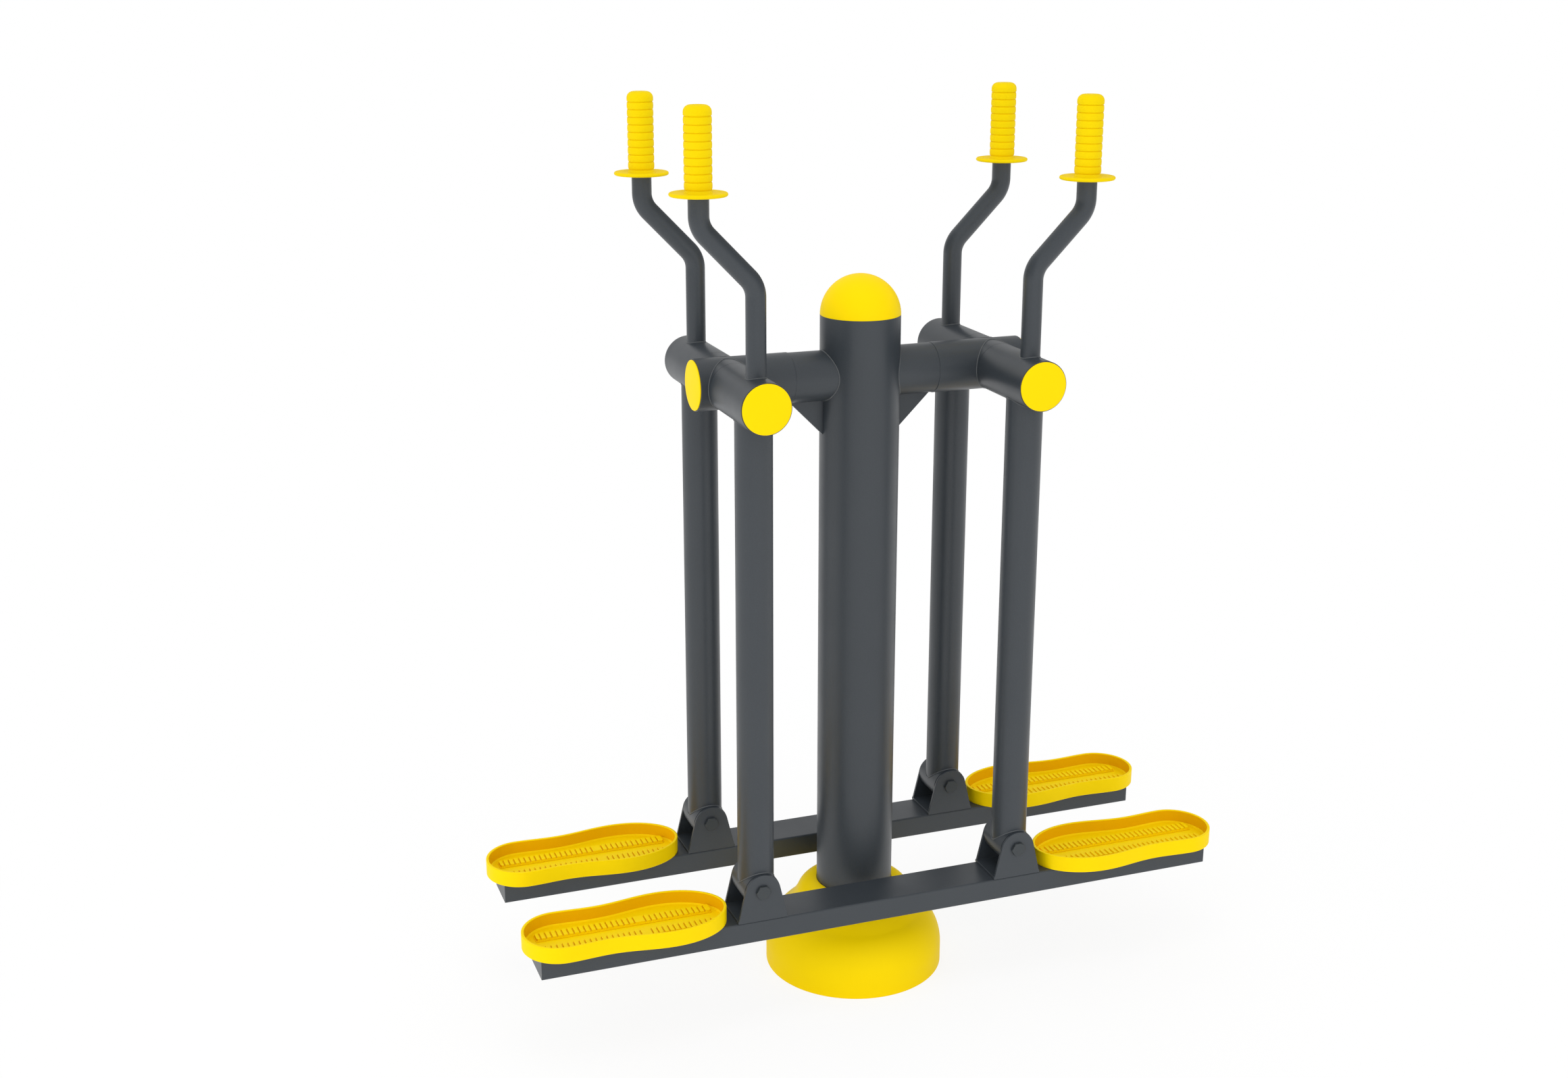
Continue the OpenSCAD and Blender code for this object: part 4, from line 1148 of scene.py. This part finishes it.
def floor_finish(settings):
    """Pale matt floor that keeps a faint shadow near the object and is white farther off."""
    material = bpy.data.materials.new("pale_floor")
    material.use_nodes = True
    tree = material.node_tree
    shader = tree.nodes["Principled BSDF"]
    feed(tree, shader, {
        "Base Color": (*settings.floor, 1), "Roughness": 0.9, "Specular IOR Level": 0})
    glow = add_node(tree, "ShaderNodeEmission", {"Color": (1, 1, 1, 1), "Strength": 1.0})
    place = add_node(tree, "ShaderNodeTexCoord").outputs["Object"]
    away = add_node(tree, "ShaderNodeVectorMath", {0: place}, operation="LENGTH")
    fade = add_node(tree, "ShaderNodeMapRange", {
        "Value": away.outputs["Value"], "From Min": SHADOW_NEAR, "From Max": SHADOW_FAR,
        "To Min": NEAR_WHITE, "To Max": 1.0}, interpolation_type="SMOOTHSTEP")
    white = add_node(tree, "ShaderNodeMath", {
        0: seen_directly(tree), 1: fade.outputs["Result"]}, operation="MULTIPLY")
    mix = add_node(tree, "ShaderNodeMixShader", {
        0: white.outputs[0], 1: shader.outputs[0], 2: glow.outputs[0]})
    feed(tree, tree.nodes["Material Output"], {"Surface": mix.outputs[0]})
    return material


def set_camera(settings):
    """Camera at the photograph's viewing angle."""
    flat = math.cos(settings.elevation)
    back = Vector((math.sin(settings.azimuth) * flat, -math.cos(settings.azimuth) * flat,
                   math.sin(settings.elevation)))
    bpy.ops.object.camera_add(location=Vector(settings.target) + back * settings.distance)
    camera = bpy.context.object
    camera.rotation_mode = "QUATERNION"
    camera.rotation_quaternion = (-back).to_track_quat("-Z", "Y")
    camera.data.lens = settings.lens
    bpy.context.scene.camera = camera


def soft_light(name, place, target, size, power):
    """Large area light that faces a target, and that no reflection shows."""
    bpy.ops.object.light_add(type="AREA", location=place)
    lamp = bpy.context.object
    lamp.name = name
    lamp.rotation_mode = "QUATERNION"
    lamp.rotation_quaternion = (Vector(target) - Vector(place)).to_track_quat("-Z", "Y")
    lamp.data.shape = "RECTANGLE"
    lamp.data.size, lamp.data.size_y = size
    lamp.data.energy = power
    lamp.visible_glossy = False


def set_world(settings):
    """Even light from all round, a white backdrop, and darker studio sides in reflections."""
    world = bpy.data.worlds.new("studio")
    bpy.context.scene.world = world
    world.use_nodes = True
    tree = world.node_tree
    light = tree.nodes["Background"]
    feed(tree, light, {"Color": (1, 1, 1, 1), "Strength": settings.fill})
    way = add_node(tree, "ShaderNodeTexCoord").outputs["Generated"]
    parts = add_node(tree, "ShaderNodeSeparateXYZ", {"Vector": way})
    side = add_node(tree, "ShaderNodeMath", {0: parts.outputs["X"]}, operation="ABSOLUTE")
    level = add_node(tree, "ShaderNodeMapRange", {
        "Value": side.outputs[0], "From Min": SIDE_START, "From Max": SIDE_END, "To Min": 1.0,
        "To Max": settings.side}, interpolation_type="SMOOTHSTEP")
    studio = add_node(tree, "ShaderNodeBackground", {"Strength": level.outputs["Result"]})
    white = add_node(tree, "ShaderNodeBackground", {"Color": (1, 1, 1, 1), "Strength": 1.0})
    seen = add_node(tree, "ShaderNodeMixShader", {
        0: seen_directly(tree), 1: light.outputs[0], 2: studio.outputs[0]})
    camera_ray = add_node(tree, "ShaderNodeLightPath").outputs["Is Camera Ray"]
    behind = add_node(tree, "ShaderNodeMixShader", {
        0: camera_ray, 1: seen.outputs[0], 2: white.outputs[0]})
    feed(tree, tree.nodes["World Output"], {"Surface": behind.outputs[0]})


class WALKER_PT_panel(bpy.types.Panel):
    """Lists the operators that dress the air walker"""

    bl_idname = "WALKER_PT_panel"
    bl_label = "Air walker"
    bl_space_type = "VIEW_3D"
    bl_region_type = "UI"
    bl_category = "Air walker"

    def draw(self, context):
        for operator in OPERATORS:
            self.layout.operator(operator.bl_idname)


OPERATORS = (
    WALKER_OT_set_stage,
    WALKER_OT_paint_steel,
    WALKER_OT_finish_inner_parts,
    WALKER_OT_model_edges,
    WALKER_OT_model_base_cover,
    WALKER_OT_model_caps,
    WALKER_OT_model_handlebars,
    WALKER_OT_model_footplates,
    WALKER_OT_lay_welds,
)


def register():
    """Registers the classes and gives the scene its settings."""
    for group in GROUPS.values():
        bpy.utils.register_class(group)
    for name, group in GROUPS.items():
        setattr(bpy.types.Scene, name, PointerProperty(type=group))
    for operator in OPERATORS:
        bpy.utils.register_class(operator)
    bpy.utils.register_class(WALKER_PT_panel)


def unregister():
    """Takes the classes and the scene's settings away again."""
    bpy.utils.unregister_class(WALKER_PT_panel)
    for operator in reversed(OPERATORS):
        bpy.utils.unregister_class(operator)
    for name, group in reversed(GROUPS.items()):
        delattr(bpy.types.Scene, name)
        bpy.utils.unregister_class(group)


def main():
    """Makes every piece and the stage."""
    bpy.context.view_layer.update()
    register()
    bpy.ops.walker.set_stage()
    bpy.ops.walker.paint_steel()
    bpy.ops.walker.finish_inner_parts()
    bpy.ops.walker.model_edges()
    bpy.ops.walker.model_base_cover()
    bpy.ops.walker.model_caps()
    bpy.ops.walker.model_handlebars()
    bpy.ops.walker.model_footplates()
    bpy.ops.walker.lay_welds()


if __name__ == "__main__":
    main()
